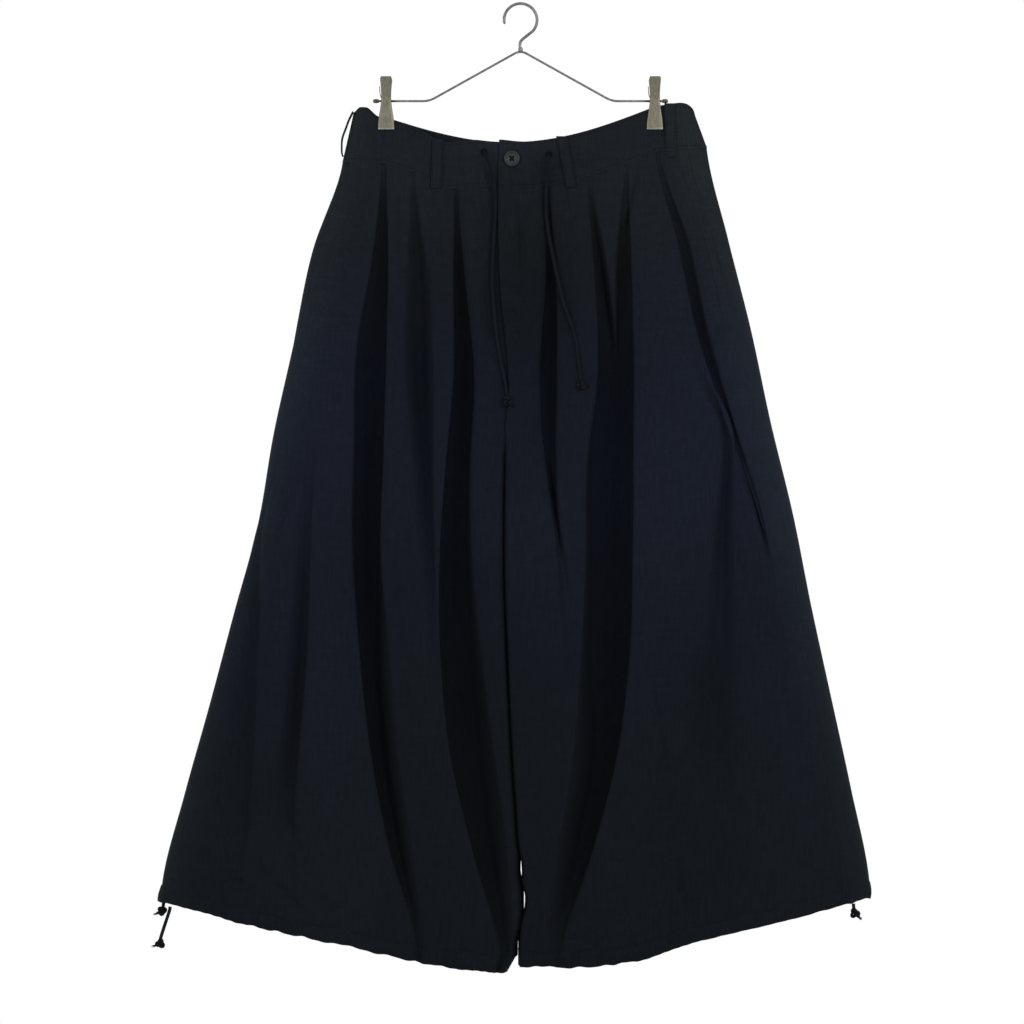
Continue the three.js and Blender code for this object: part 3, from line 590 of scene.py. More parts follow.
def band_point(x, drop, face):
    edge = mix(*BAND_OUTER["left" if x < 0 else "right"], drop)
    mouth = 10 * max(0, between_clips(abs(x) + 12))
    top = 1.4 + mouth + 2.8 * smooth((abs(x) - CLIP_OFFSET) / 12 - 1.3)
    half = mix(top, half_at_seam(x), smooth(2 * drop - 1))
    return x, face * half * rounded(abs(edge - x) / 6), band_level(x, drop, face)


print("band's top edge at the middle:", round(band_level(0, 0, BACK), 1))

# %% [markdown]
# ## The folds of the legs
# Every fold is a row of the table: where its trough lies, how wide it is, how far it is
# pushed in and how far its floor slides under the next panel, at nine levels.
# `inner` and `outer` say what share of the trough each of its two walls takes. A small
# share makes a crisp lip, and half makes a gentle slope.

# %% Left front folds
CENTRE_LINE = [-26.5, -23.6, -13.8, -17, -17.8, -14, -8.6, -1.7, -2.9]
FLAT = [0] * 9
CRISP = [0.25, 0.2, 0.18, 0.18, 0.18, 0.18, 0.2, 0.25, 0.4]
SOFTENING = [0.25, 0.2, 0.2, 0.3, 0.42, 0.55, 0.65, 0.7, 0.7]
LEFT_FRONT_FOLDS = [
    {
        "name": "deep inner pleat", "before": 14, "columns": 30, "outer": CRISP,
        "inner": [0.25, 0.2, 0.12, 0.15, 0.2, 0.25, 0.32, 0.42, 0.5],
        "x": [-74.2, -70.2, -65, -71.5, -73.5, -67, -54, -34, -15],
        "half": [2.6, 7.5, 12.5, 15, 19.5, 24.5, 26, 20, 9],
        "push": [1.5, 17, 28, 34, 39, 41, 39, 30, 9],
        "lean": [0, 0, 0, -2, -4, -5, -5, -4, -2],
    },
    {
        "name": "soft middle pleat", "before": 8, "columns": 18,
        "inner": [0.5, 0.45, 0.4, 0.35, 0.35, 0.5, 0.5, 0.5, 0.5],
        "outer": [0.5, 0.5, 0.5, 0.7, 0.8, 0.5, 0.5, 0.5, 0.5],
        "x": [-124, -118, -117, -113, -107, -98, -88, -64, -40],
        "half": [3, 15, 18, 14, 10, 4, 3, 3, 2.6],
        "push": [1, 17, 25, 18, 8, 0, 0, 0, 0], "lean": FLAT,
    },
    {
        "name": "deep outer pleat", "before": 20, "columns": 28, "outer": CRISP,
        "inner": [0.25, 0.2, 0.15, 0.15, 0.22, 0.42, 0.45, 0.45, 0.6],
        "x": [-157, -161, -170.8, -173.7, -176, -167, -156, -138, -114],
        "half": [3, 9.8, 17.7, 17.6, 17, 18, 17, 14, 6],
        "push": [1.5, 19, 32, 36, 38, 37, 33, 22, 3],
        "lean": [0, 0, 0, 0, 0, -3, -6, -5, -2],
    },
    {
        "name": "soft side valley", "before": 20, "columns": 16, "inner": [0.3] * 9, "outer": [0.75] * 9,
        "x": [-182, -203, -222, -240, -248, -254, -262, -270, -266],
        "half": [3, 6, 8, 9, 10, 13, 13, 12, 10],
        "push": [0, 0, 0, 2, 8, 15, 16, 6, 0], "lean": FLAT,
    },
    {
        "name": "side ridge's foot", "before": 8, "columns": 18, "inner": [0.16] * 9, "outer": [0.84] * 9,
        "x": [-196, -224, -248, -270, -297, -311, -323, -334, -345],
        "half": [3, 4, 5, 5, 4, 15, 22, 26, 26],
        "push": [0, 0, 0, 0, 4, 14, 15, 9, 1], "lean": FLAT,
    },
]
print("left front folds:", [fold["name"] for fold in LEFT_FRONT_FOLDS])

# %% [markdown]
# ## Folds of the back
# The back is guessed: on each leg two soft pleats that run on down the leg like the
# front's. Those of the right leg lie a little further out. Low down they lean away
# from the middle.

# %% Back folds
def back_pleat(name, before, way, x, half, push):
    lean = [way * k for k in (0, 0, 0, 2, 4, 5, 6, 5, 3)]
    return {
        "name": name, "before": before, "columns": 20, "inner": SOFTENING, "outer": CRISP,
        "x": x, "half": half, "push": push, "lean": lean,
    }


LEFT_BACK_FOLDS = [
    back_pleat(
        "back inner pleat", 16, -1, [-68, -73, -78, -85, -92, -98, -104, -108, -112],
        [3, 9, 13, 15, 17, 18, 19, 16, 10], [1.5, 10, 18, 24, 28, 27, 24, 15, 4],
    ),
    back_pleat(
        "back outer pleat", 18, -1, [-132, -146, -160, -176, -192, -207, -222, -236, -250],
        [3, 9, 13, 15, 16, 17, 18, 15, 10], [1.5, 9, 17, 22, 25, 24, 20, 12, 3],
    ),
]
RIGHT_BACK_FOLDS = [
    back_pleat(
        "back inner pleat", 16, 1, [58, 66, 74, 85, 96, 107, 118, 125, 132],
        [3, 9, 13, 16, 18, 18, 18, 15, 10], [1.5, 10, 19, 24, 27, 26, 23, 14, 4],
    ),
    back_pleat(
        "back outer pleat", 18, 1, [134, 151, 168, 186, 204, 222, 240, 256, 272],
        [3, 9, 12, 14, 15, 17, 18, 15, 10], [1.5, 9, 16, 21, 25, 24, 21, 12, 3],
    ),
]
print("back folds:", len(LEFT_BACK_FOLDS + RIGHT_BACK_FOLDS))

# %% [markdown]
# ## Folds of the right front
# The right front has the widest pleat. A `ridge` on its floor is the tip of the next
# fold, which shows inside it near the waist.

# %% Right front folds
RIGHT_FRONT_FOLDS = [
    {
        "name": "fly side pleat", "before": 14, "columns": 20, "inner": CRISP, "outer": SOFTENING,
        "x": [30.5, 34.7, 31.8, 35.5, 46, 50, 44, 28, 15],
        "half": [3, 6.9, 10.7, 6, 3, 2.6, 2.6, 2.6, 2.6],
        "push": [1.5, 14, 21, 12, 2.5, 0, 0, 0, 0], "lean": FLAT,
    },
    {
        "name": "widest pleat", "before": 12, "columns": 52,
        "inner": [0.1, 0.1, 0.12, 0.14, 0.15, 0.22, 0.4, 0.45, 0.6],
        "outer": [0.1, 0.1, 0.1, 0.1, 0.1, 0.12, 0.15, 0.2, 0.4],
        "x": [100.2, 105.7, 109, 102, 100.8, 96.5, 85, 61.5, 38],
        "half": [24.2, 21.7, 21, 27, 27.5, 28.5, 26, 20, 9],
        "push": [1, 19, 37, 46, 51, 52, 46, 32, 4],
        "lean": [0, 0, 0, 2, 4, 6, 8, 7, 3],
        "ridge": {
            "from": [80, 97, 108, 108, 108, 108, 108, 108, 108],
            "to": [120, 110.5, 112, 112, 112, 112, 112, 112, 112],
            "height": [1, 0.85, 0, 0, 0, 0, 0, 0, 0],
        },
    },
    {
        "name": "soft outer valley", "before": 26, "columns": 16, "inner": [0.55] * 9, "outer": [0.55] * 9,
        "x": [141, 164, 186, 233, 231, 228, 221, 228, 238],
        "half": [3, 5, 6, 8, 13, 20, 26, 26, 16],
        "push": [0, 0, 0, 8, 13, 10, 9, 4, 1], "lean": FLAT,
    },
    {
        "name": "side pleat", "before": 12, "columns": 18, "inner": CRISP, "outer": [0.35] * 9,
        "x": [156.8, 187, 209.5, 241.5, 274, 290, 300, 306, 310],
        "half": [2.6, 7, 7, 4.5, 3.5, 4, 5, 6, 7],
        "push": [1, 10, 12, 7, 4, 0, 0, 0, 0], "lean": FLAT,
    },
]
print("right front folds:", [fold["name"] for fold in RIGHT_FRONT_FOLDS])

# %% [markdown]
# ## Outlines of the legs
# Each leg also has its outer edge at the same nine levels, the slope of its hem, and how
# its hem's corners are pulled. The last rows say how deep the legs hang from front to back.

# %% Leg tables
LEGS = {
    "left": {
        "name": "left", "side": -1, "inner_round": 8, "wrap": 0,
        "outer": [-204, -238.5, -260, -283, -301, -329, -356.5, -385.5, -411.5],
        "hem_outer": -1033, "hem_drop": 78, "hem_shape": [0, 0.32, 0.6, 0.855, 1],
        "corner_pull": -12, "corner_flare": -5,
        FRONT: LEFT_FRONT_FOLDS,
        BACK: LEFT_BACK_FOLDS,
    },
    "right": {
        "name": "right", "side": 1, "inner_round": 4.5, "wrap": 12,
        "outer": [213.5, 238, 264.5, 287, 312.5, 333.5, 356.5, 379.5, 400.5],
        "hem_outer": -1029, "hem_drop": 76, "hem_shape": [0, 0.32, 0.635, 0.98, 1],
        "corner_pull": 0, "corner_flare": 1,
        FRONT: RIGHT_FRONT_FOLDS,
        BACK: RIGHT_BACK_FOLDS,
    },
}
FRONT_DEPTH, BACK_DEPTH = [13, 36, 50, 52, 44], [13, 32, 44, 46, 40]
OUTER_ROUND = [14, 50, 70, 80, 70]
EDGE_COLUMNS = 20
print("depths of the front, from the waist to the hem:", FRONT_DEPTH)

# %% [markdown]
# ## Small creases
# Between the pleats the cloth has short creases, each listed with a line across the
# panel, a half width, a depth (below zero for a ridge) and the side on which it is crisp.
# The hidden back gets a few of the same kind, in other places.

# %% Crease tables
CREASES = {
    ("left", FRONT): [
        ("side seam pucker", [(-211, -208), (-217, -224), (-223, -240)], 5, 2.4, "soft"),
        ("lower side seam pucker", [(-218, -229), (-224, -243), (-231, -261)], 5, 2.0, "soft"),
        (
            "beside the cord",
            [(-52, -192), (-47, -224), (-41, -282), (-39, -351), (-33, -397), (-25, -436)],
            5, 6.5, "right",
        ),
        ("valley's end", [(-265, -914), (-258, -951), (-247, -981), (-228, -1006)], 8, 3, "soft"),
        ("hem wrinkle a", [(-352, -990), (-323, -1004), (-295, -1027)], 9, 4, "soft"),
        ("hem wrinkle b", [(-313, -981), (-273, -1011), (-251, -1038)], 8, 3.6, "soft"),
        ("hem wrinkle c", [(-258, -1006), (-219, -1032), (-196, -1055)], 7, 2, "soft"),
        ("hem wrinkle d", [(-380, -1006), (-355, -1020), (-332, -1043)], 6, 1.8, "soft"),
        ("small waist fold", [(-140, -197), (-142, -247), (-140, -328)], 5, 1.8, "soft"),
        ("narrow waist fold", [(-104, -220), (-106, -270), (-104, -339)], 4, 2, "soft"),
    ],
    ("right", FRONT): [
        ("under the eyelet", [(16, -187), (4, -217), (-1, -259), (-1, -307), (2, -339)], 6, 5, "soft"),
        ("fly's point", [(28, -374), (26, -406), (19, -427), (20, -468), (12, -532)], 4, 3, "soft"),
        ("thin crease", [(32, -521), (36, -552), (45, -604), (56, -680)], 5, 5, "right"),
        (
            "long fine crease",
            [(132, -710), (147, -765), (159, -816), (168, -880), (173, -931), (175, -979)],
            3.6, 2.2, "right",
        ),
        ("hem crease a", [(175, -972), (183, -1009), (197, -1050)], 5, 4.4, "left"),
        ("hem crease b", [(190, -1018), (200, -1050)], 4, 2.6, "left"),
        ("front ridge", [(174, -346), (181, -454), (188, -569), (190, -707)], 12, -3, "soft"),
        ("side pucker a", [(216, -268), (232, -310), (248, -376)], 5, 3, "soft"),
        ("side pucker b", [(225, -261), (240, -296)], 4, 2, "soft"),
        ("second waist pleat", [(137, -190), (131, -208), (125, -233), (122, -261)], 4, 4, "left"),
        ("inner panel mark", [(-7, -815), (11, -821), (32, -826)], 3.5, 1.4, "soft"),
        ("side pleat's tail", [(248, -523), (265, -568), (283, -628)], 6, 5, "right"),
        ("hem wrinkle a", [(41, -1073), (80, -1068), (128, -1080)], 6, 2.4, "soft"),
        ("hem wrinkle b", [(41, -1050), (91, -1043), (133, -1059)], 7, 1.6, "soft"),
        ("hem wrinkle c", [(236, -992), (262, -1011), (287, -1038)], 7, 1.8, "soft"),
        ("hem wrinkle d", [(310, -974), (340, -997), (365, -1020)], 7, 1.6, "soft"),
    ],
    ("left", BACK): [
        ("seat crease", [(-40, -330), (-58, -420), (-64, -520)], 7, 3, "soft"),
        ("long back crease", [(-150, -420), (-168, -560), (-176, -700)], 5, 2.6, "left"),
        ("back hem crease a", [(-318, -972), (-296, -1012), (-280, -1040)], 7, 2.6, "soft"),
        ("back hem crease b", [(-168, -1030), (-150, -1058), (-140, -1076)], 6, 2.4, "soft"),
        ("back side pucker", [(-226, -262), (-240, -306), (-252, -356)], 5, 2.4, "soft"),
    ],
    ("right", BACK): [
        ("seat crease", [(20, -340), (34, -430), (38, -540)], 7, 3, "soft"),
        ("long back crease", [(142, -400), (160, -530), (170, -660)], 5, 2.6, "right"),
        ("back hem crease a", [(300, -966), (286, -1004), (276, -1036)], 7, 2.6, "soft"),
        ("back hem crease b", [(150, -1034), (136, -1062)], 6, 2.4, "soft"),
        ("back side pucker", [(232, -272), (246, -316), (256, -366)], 5, 2.4, "soft"),
    ],
}
for (side, face), creases in CREASES.items():
    print(side, "front:" if face == FRONT else "back:", [name for name, *_ in creases])

# %% [markdown]
# ## Crease depth
# A point is pushed in by its distance from a crease's line, and each crease fades out
# towards both its ends. All points of a panel are worked out at once.

# %% Crease depth
def crease_depth(x, z, creases):
    """Depth pushed in at points x, z (arrays), all creases together."""
    total = np.zeros_like(x)
    for _, path, half, depth, edge in creases:
        line = np.array(path, float)
        steps = np.linalg.norm(np.diff(line, axis=0), axis=1)
        runs = np.concatenate([[0], np.cumsum(steps)])
        nearest = np.full(x.shape, 1e9)
        signed, run = np.zeros_like(x), np.zeros_like(x)
        for i, (a, b) in enumerate(zip(line, line[1:])):
            way = (b - a) / steps[i]
            at = np.clip((x - a[0]) * way[0] + (z - a[1]) * way[1], 0, steps[i])
            dx, dz = x - (a[0] + at * way[0]), z - (a[1] + at * way[1])
            far = np.hypot(dx, dz)
            closer = far < nearest
            nearest = np.where(closer, far, nearest)
            signed = np.where(closer, np.sign(dx) * far, signed)
            run = np.where(closer, runs[i] + at, run)
        left, right = {"soft": (1, 1), "right": (1, 0.4), "left": (0.4, 1)}[edge]
        share = 1 - np.abs(signed) / (half * np.where(signed < 0, left, right))
        share = np.clip(share, 0, 1)
        profile = share * share * (3 - 2 * share)
        ends = np.clip(np.minimum(run, runs[-1] - run) / (0.3 * runs[-1]) + 0.12, 0, 1)
        total += depth * profile * ends
    return total


trial = crease_depth(np.array([-240.0]), np.array([-290.0]), CREASES[("left", BACK)])
print("depth on the back's side pucker:", round(float(trial[0]), 2))

# %% [markdown]
# ## Where the legs meet
# Below the fly the right leg's inner edge laps a few millimetres over the left one, as they
# hang. Low down two short slits open between them, and the line bows a little to one side.

# %% Where the legs meet
FLY_END, CROTCH = 0.31, 0.38
OVERLAP = 7.0
SLITS = ((0.892, 0.026), (0.937, 0.034))


def edge_forward(share):
    return 1 - smooth((share - FLY_END) / (CROTCH - FLY_END))


def slits_open(share):
    return [hump((share - middle) / reach) for middle, reach in SLITS]


def lapped(share):
    """1 where the right leg's inner edge laps over the left one, 0 in the slits."""
    lap = smooth((share - 0.27) / 0.06) * (1 - smooth((share - 0.956) / 0.03))
    return lap * (1 - max(slits_open(share)))


def lies_under(leg, face):
    return leg["side"] < 0 and face == FRONT


def meeting(share):
    """Where the legs meet: the middle line, with a small bow low down."""
    bow = 2.0 * hump((share - 0.892) / 0.05) + 6.5 * hump((share - 0.940) / 0.05)
    return along(CENTRE_LINE, share) + bow


def inner_edge(leg, face, share):
    thickness = 0.7 * math.sqrt(1 - edge_forward(share) ** 2)
    upper, lower = slits_open(share)
    apart = 0.1 + thickness + 0.25 * upper + 0.35 * lower
    closed = 1 - smooth((share - FLY_END + 0.06) / 0.06)
    if lies_under(leg, face):
        return meeting(share) - apart + 24 * closed + 2 * lapped(share)
    moved = 4 * lapped(share) if leg["side"] > 0 and face == FRONT else 0
    return meeting(share) + leg["side"] * apart + moved


def level_of(leg, face, share):
    return {
        "share": share, "forward": edge_forward(share), "outer": along(leg["outer"], share),
        "middle": along(CENTRE_LINE, share), "inner": inner_edge(leg, face, share),
        "full": along(FRONT_DEPTH if face == FRONT else BACK_DEPTH, share),
        "round": along(OUTER_ROUND, share), "swell": smooth(share / 0.22),
        "lap": OVERLAP * lapped(share),
    }


print("the slits are lowest at a share of", SLITS[-1][0])

# %% [markdown]
# ## A point of the cloth
# Each point starts on the rounded, hollow form of the leg. `push` moves it in, as a fold
# does, and `lean` moves it sideways, so that a pleat can hang over its own trough.

# %% A point of the cloth
def cloth_point(leg, face, level, x, push=0.0, lean=0.0):
    inward = (x - level["outer"]) / (level["middle"] - level["outer"])
    waist_x = mix(leg["outer"][0], CENTRE_LINE[0], inward)
    top = band_level(waist_x, 1, face)
    bottom = leg["hem_outer"] - leg["hem_drop"] * along(leg["hem_shape"], inward) + CASING_HEIGHT
    depth = mix(half_at_seam(x), level["full"], level["swell"])
    inner_share = rounded(abs(x - level["inner"]) / leg["inner_round"])
    inner_part = 1 - (1 - level["forward"]) * (1 - inner_share)
    outer_part = rounded(abs(x - level["outer"]) / level["round"])
    behind = 0
    if lies_under(leg, face):
        behind = 3.4 * smooth((x - level["middle"] + 20) / 12) * level["forward"]
    y = face * (depth * inner_part * outer_part - push - behind)
    if leg["side"] > 0 and face == FRONT:
        edge_too = 1 - (1 - level["forward"]) * (1 - smooth(inner_share / 0.5))
        lean -= level["lap"] * edge_too * (1 - smooth((x - level["inner"]) / 50))
    return x + lean, y, mix(top, bottom, level["share"])


trial = cloth_point(LEGS["left"], FRONT, level_of(LEGS["left"], FRONT, 0.5), -150)
print("a point half way down:", [round(float(c), 1) for c in trial])

# %% [markdown]
# ## Levels of a leg
# A level runs from the inner edge out to the side: a flat plateau, a fold, the next plateau
# and so on. Plateaus swell a little where no fold pulls them in. Both levels of a leg, front
# and back, make one ring, and the rings are stacked into a grid.

# %% Levels of a leg
def wall(v, run):
    return mix(rounded(v / run), smooth(v / run), smooth((run - 0.2) / 0.3))


def fold_at(fold, share):
    at = {key: along(fold[key], share) for key in ("x", "half", "push", "lean", "inner", "outer")}
    at["half"], at["push"] = max(2.6, at["half"]), max(0.0, at["push"])
    at["ridge"] = {key: along(column, share) for key, column in fold.get("ridge", {}).items()}
    return at


def floor_at(fold, v, x):
    floor = wall(v, fold["inner"]) * wall(1 - v, fold["outer"])
    if fold["ridge"]:
        ridge = fold["ridge"]
        inside = smooth((x - ridge["from"] + 3) / 7) * smooth((ridge["to"] + 2 - x) / 4)
        floor *= 1 - clamp(ridge["height"]) * inside
    return floor


def leg_level(leg, face, share):
    """The points of one level, from the inner edge out to the side."""
    level = level_of(leg, face, share)
    side = leg["side"]
    folds = [fold_at(fold, share) for fold in leg[face]]
    swell = 5 * smooth(share / 0.15) * (1 - 0.5 * smooth((share - 0.8) / 0.2))

    def lift(x):
        free = 1.0
        for fold in folds:
            free *= 1 - smooth(fold["push"] / 12) * hump((x - fold["x"]) / (fold["half"] + 26))
        return swell * free

    points = []
    start_x = level["inner"]

    def plateau(to, columns, spacing):
        for i in range(columns):
            x = mix(start_x, to, spacing(i / columns))
            points.append(cloth_point(leg, face, level, x, -lift(x)))

    for index, (row, fold) in enumerate(zip(leg[face], folds)):
        spacing = (lambda v: v) if index else (lambda v: 1 - math.cos(v * math.pi / 2))
        plateau(fold["x"] - side * fold["half"], row["before"], spacing)
        for i in range(row["columns"]):
            v = i / row["columns"]
            u = side * fold["half"] * (2 * v - 1)
            x = fold["x"] + u
            floor = floor_at(fold, v, x)
            spread = 0.1 * u * floor * smooth(fold["push"] / 20)
            push = fold["push"] * floor - lift(x)
            points.append(cloth_point(leg, face, level, x, push, fold["lean"] * floor + spread))
        start_x = fold["x"] + side * fold["half"]
    plateau(level["outer"], EDGE_COLUMNS, lambda v: math.sin(v * math.pi / 2))
    points.append(cloth_point(leg, face, level, level["outer"]))
    return points


trial = leg_level(LEGS["right"], FRONT, 0.5)
print("points across the right front:", len(trial))

# %% [markdown]
# ## Rings of both legs
# The creases are pressed into the rings, and a little uneven noise moves the points in and
# out, because real cloth is never quite even.

# %% Rings of both legs
LEG_ROWS = 150


def uneven(x, y, z):
    large = noise.noise(Vector((x / 62, y / 40, z / 190)))
    small = noise.noise(Vector((x / 17 + 9, y / 15, z / 55)))
    fine = noise.noise(Vector((x / 6 + 31, y / 6, z / 16)))
    return 0.75 * large + 0.30 * small + 0.09 * fine


def leg_rings(leg):
    shares = [r / (LEG_ROWS - 1) for r in range(LEG_ROWS)]
    sides = {}
    for face in (FRONT, BACK):
        grid = np.array([leg_level(leg, face, s) for s in shares])
        push = crease_depth(grid[:, :, 0], grid[:, :, 2], CREASES[(leg["name"], face)])
        calm = np.array([min(1, s / 0.05, (1 - s) / 0.02) for s in shares])[:, None]
        wave = np.array([[uneven(*p) for p in row] for row in grid])
        grid[:, :, 1] -= face * push * calm
        grid[:, :, 1] += face * wave * calm
        sides[face] = grid
    back = sides[BACK][:, :-1][:, ::-1]
    return np.concatenate([sides[FRONT], back], axis=1), sides[FRONT].shape[1]


rings = {side: leg_rings(leg) for side, leg in LEGS.items()}
print("rings:", {side: ring.shape[:2] for side, (ring, _) in rings.items()})

# %% [markdown]
# ## Front and back panels
# The ring grid is cut at the side seam into a front and a back piece. Solidify gives each
# sheet a real thickness, and the top and bottom rows reach under the band and the casing.

# %% Front and back panels
CLOTH_THICKNESS = 1.2
REACH_UNDER = 2.5
SEAM_TUCK = (0.4, 0.9)
SHEET_GRIDS = {}


def reach_under(grid):
    """Carries the first and last rows on, under the pieces that cover them."""
    top, bottom = grid[0].copy(), grid[-1].copy()
    top[:, 2] += REACH_UNDER
    bottom[:, 2] -= REACH_UNDER
    return np.concatenate([top[None], grid, bottom[None]])


def face_way(bm, way):
    """Turns the faces of an open sheet so that they look along the way given."""
    total = sum(f.normal.dot(Vector(way)) * f.calc_area() for f in bm.faces)
    if total < 0:
        bmesh.ops.reverse_faces(bm, faces=bm.faces)


def sheet_piece(name, grid, material, way, thickness, slot, node, rim=None):
    SHEET_GRIDS[name] = [[tuple(p) for p in row] for row in grid]
    bm = grid_of(SHEET_GRIDS[name])
    bm.normal_update()
    face_way(bm, way)
    made = object_from(bm, name, material)
    thicken(made, thickness, rim)
    return ride(made, slot, node)


legs, panels = {}, {}
for side, leg in LEGS.items():
    ring, front_count = rings[side]
    seam = front_count - 1 - leg["wrap"]
    legs[side] = (ring, seam)
    tucked = ring[:, : seam + 2].copy()
    tucked[:, -1, 1] += SEAM_TUCK[1]
    tucked[:, -1, 0] -= SEAM_TUCK[0] * leg["side"]
    for face, word, part in ((FRONT, "front", tucked), (BACK, "back", ring[:, seam:])):
        node = f"{word}_{side}"
        panels[node] = sheet_piece(
            "panel_" + node, reach_under(part), CLOTH, (0, face, 0),
            CLOTH_THICKNESS, "cloth", node,
        )
        print(node, part.shape[0], "rows by", part.shape[1], "columns")

# %% [markdown]
# ## Hem casings
# The hem is turned up into a channel for the drawcord. The cord gathers it a little, so the
# channel is puffed and has small uneven puckers that scallop the bottom edge.

# %% Casings
CASING_THICKNESS, CASING_RIM = 1.5, 0.7
CASING_STEP, CASING_ROWS = 2.4, 10


def line_places(line, outs, step):
    """Points and directions at even steps along a line, with the share of its length."""
    lengths = np.linalg.norm(np.diff(line, axis=0), axis=1)
    runs = np.concatenate([[0], np.cumsum(lengths)])
    count = int(runs[-1] / step)
    at = np.linspace(0, runs[-1], count + 1)
    points = np.stack([np.interp(at, runs, line[:, k]) for k in range(3)], axis=1)
    ways = np.stack([np.interp(at, runs, outs[:, k]) for k in range(3)], axis=1)
    ways /= np.linalg.norm(ways, axis=1)[:, None]
    return points, ways, at / runs[-1]


def level_normals(row, index, face):
    """Level ways square to a line of points, so turned that point `index` looks to `face`."""
    ends = np.concatenate([row[:1], row, row[-1:]])
    way = ends[2:] - ends[:-2]
    out = np.stack([-way[:, 1], way[:, 0], np.zeros(len(way))], axis=1)
    if out[index][1] * face < 0:
        out = -out
    return out / np.maximum(1e-9, np.linalg.norm(out, axis=1))[:, None]


def casing_grid(leg, line, outs):
    points, ways, shares = line_places(line, outs, CASING_STEP)
    rows = []
    for r in range(CASING_ROWS + 1):
        drop = r / CASING_ROWS
        row = []
        for point, way, share in zip(points, ways, shares):
            phase = 2 * math.pi * (12 * share + 0.3 * math.sin(6 * math.pi * share))
            fine = 2 * math.pi * (31 * share + 0.8 * math.sin(9 * share + leg["side"]))
            size = 0.6 + 0.4 * math.sin(5 * share + leg["side"])
            size *= smooth(min(share, 1 - share) / 0.03)
            strength = math.sin(math.pi * min(1, 0.15 + 0.85 * drop) * 0.62)
            puff = 1.5 * math.sin(math.pi * drop) ** 0.8
            out = puff + size * strength * (1.3 * math.sin(phase) + 0.55 * math.sin(fine))
            out += 0.5 * noise.noise(Vector((point[0] / 9, point[1] / 9, drop * 2)))
            near = abs(point[0] - along(CENTRE_LINE, 1))
            flat_end = smooth(1 - near / 12)
            x = point[0] + way[0] * out * (1 - flat_end)
            x += leg["corner_pull"] * drop * smooth(1 - near / 60)
            x += leg["corner_flare"] * drop * smooth(1 - abs(point[0] - leg["outer"][-1]) / 30)
            scallop = size * drop * (0.9 * math.cos(phase) + 0.4 * math.cos(fine))
            full = hump((x + 70) / 130) if leg["side"] < 0 else hump((x - 148) / 45)
            scallop += 3.0 * drop * (1 - full)
            row.append((x, point[1] + way[1] * out, point[2] - drop * CASING_HEIGHT + scallop))
        rows.append(row)
    return np.array(rows)


for side, leg in LEGS.items():
    ring, seam = legs[side]
    outs = level_normals(ring[-1], 5, FRONT)
    for face, word, part in ((FRONT, "front", slice(0, seam + 1)), (BACK, "back", slice(seam, None))):
        node = f"hem_casing_{word}_{side}"
        grid = casing_grid(leg, ring[-1][part], outs[part])
        sheet_piece(
            "channel_" + node, grid, CLOTH, (0, face, 0), CASING_THICKNESS, "cloth", node, CASING_RIM
        )
        print(node, grid.shape[1], "columns")

# %% [markdown]
# ## Waistband
# The band is doubled cloth, so it is thicker and greyer than the legs and its top edge is a
# rounded fold. The right front laps over the left under the button. Small puckers stand
# along it, because the cord inside has been pulled now and then.

# %% Waistband
BAND_THICKNESS, BAND_RIM, BAND_ROWS = 1.8, 0.9, 16
BAND_PUCKERS = [
    ("pucker a", [(-116, -163), (-119, -196)], 3, 0.9, "soft"),
    ("pucker b", [(-66, -172), (-69, -206)], 3, 1.0, "soft"),
    ("pucker c", [(-50, -176), (-47, -208)], 4, 1.4, "soft"),
    ("pucker d", [(22, -174), (8, -210)], 5, 1.6, "soft"),
    ("pucker e", [(80, -168), (82, -200)], 4, 1.0, "soft"),
    ("pucker f", [(106, -158), (104, -190)], 4, 1.2, "soft"),
    ("pucker g", [(-150, -150), (-152, -186)], 4, 1.0, "soft"),
    ("pucker h", [(126, -150), (124, -184)], 3, 1.0, "soft"),
]


def band_strip(places):
    """places: (x at the seam, face, how far behind the flap) for each column."""
    rows = []
    for r in range(BAND_ROWS + 1):
        drop = r / BAND_ROWS
        row = []
        for x, face, under in places:
            top, bottom = BAND_OUTER["left" if x < 0 else "right"]
            px, py, pz = band_point(x * mix(top, bottom, drop) / bottom, drop, face)
            if face == FRONT and not under and x > -27:
                pz += 2.6 * (1 - smooth((x + 26) / 34)) * (1 - drop)
            row.append((px, py + under, pz))
        rows.append(row)
    grid = np.array(rows)
    push = crease_depth(grid[:, :, 0], grid[:, :, 2], BAND_PUCKERS)
    faces = np.array([face for _, face, _ in places])[None, :]
    wave = np.array([[0.35 * uneven(p[0] * 1.6, p[1], p[2] * 2) for p in row] for row in grid])
    grid[:, :, 1] += faces * (wave - push * (faces == FRONT))
    below = grid[-1].copy()
    below[:, 2] -= 1.0
    return np.concatenate([grid, below[None]])


print("puckers along the band:", [name for name, *_ in BAND_PUCKERS])

# %% [markdown]
# ## Band pieces
# Each piece is a row of columns: close together round the sides, and evenly spaced on the
# flat. The end of the left front is sunk a little, where the right front laps over it.

# %% Band pieces
def spaced_x(a, b, step):
    count = max(2, int(abs(b - a) / step))
    return [mix(a, b, i / count) for i in range(count + 1)]


def edge_x(near, outer):
    return [mix(near, outer, math.sin(i / 14 * math.pi / 2)) for i in range(1, 15)]


def sunk(x):
    return 2.2 * smooth((x - CENTRE_LINE[0] + 20) / 12)


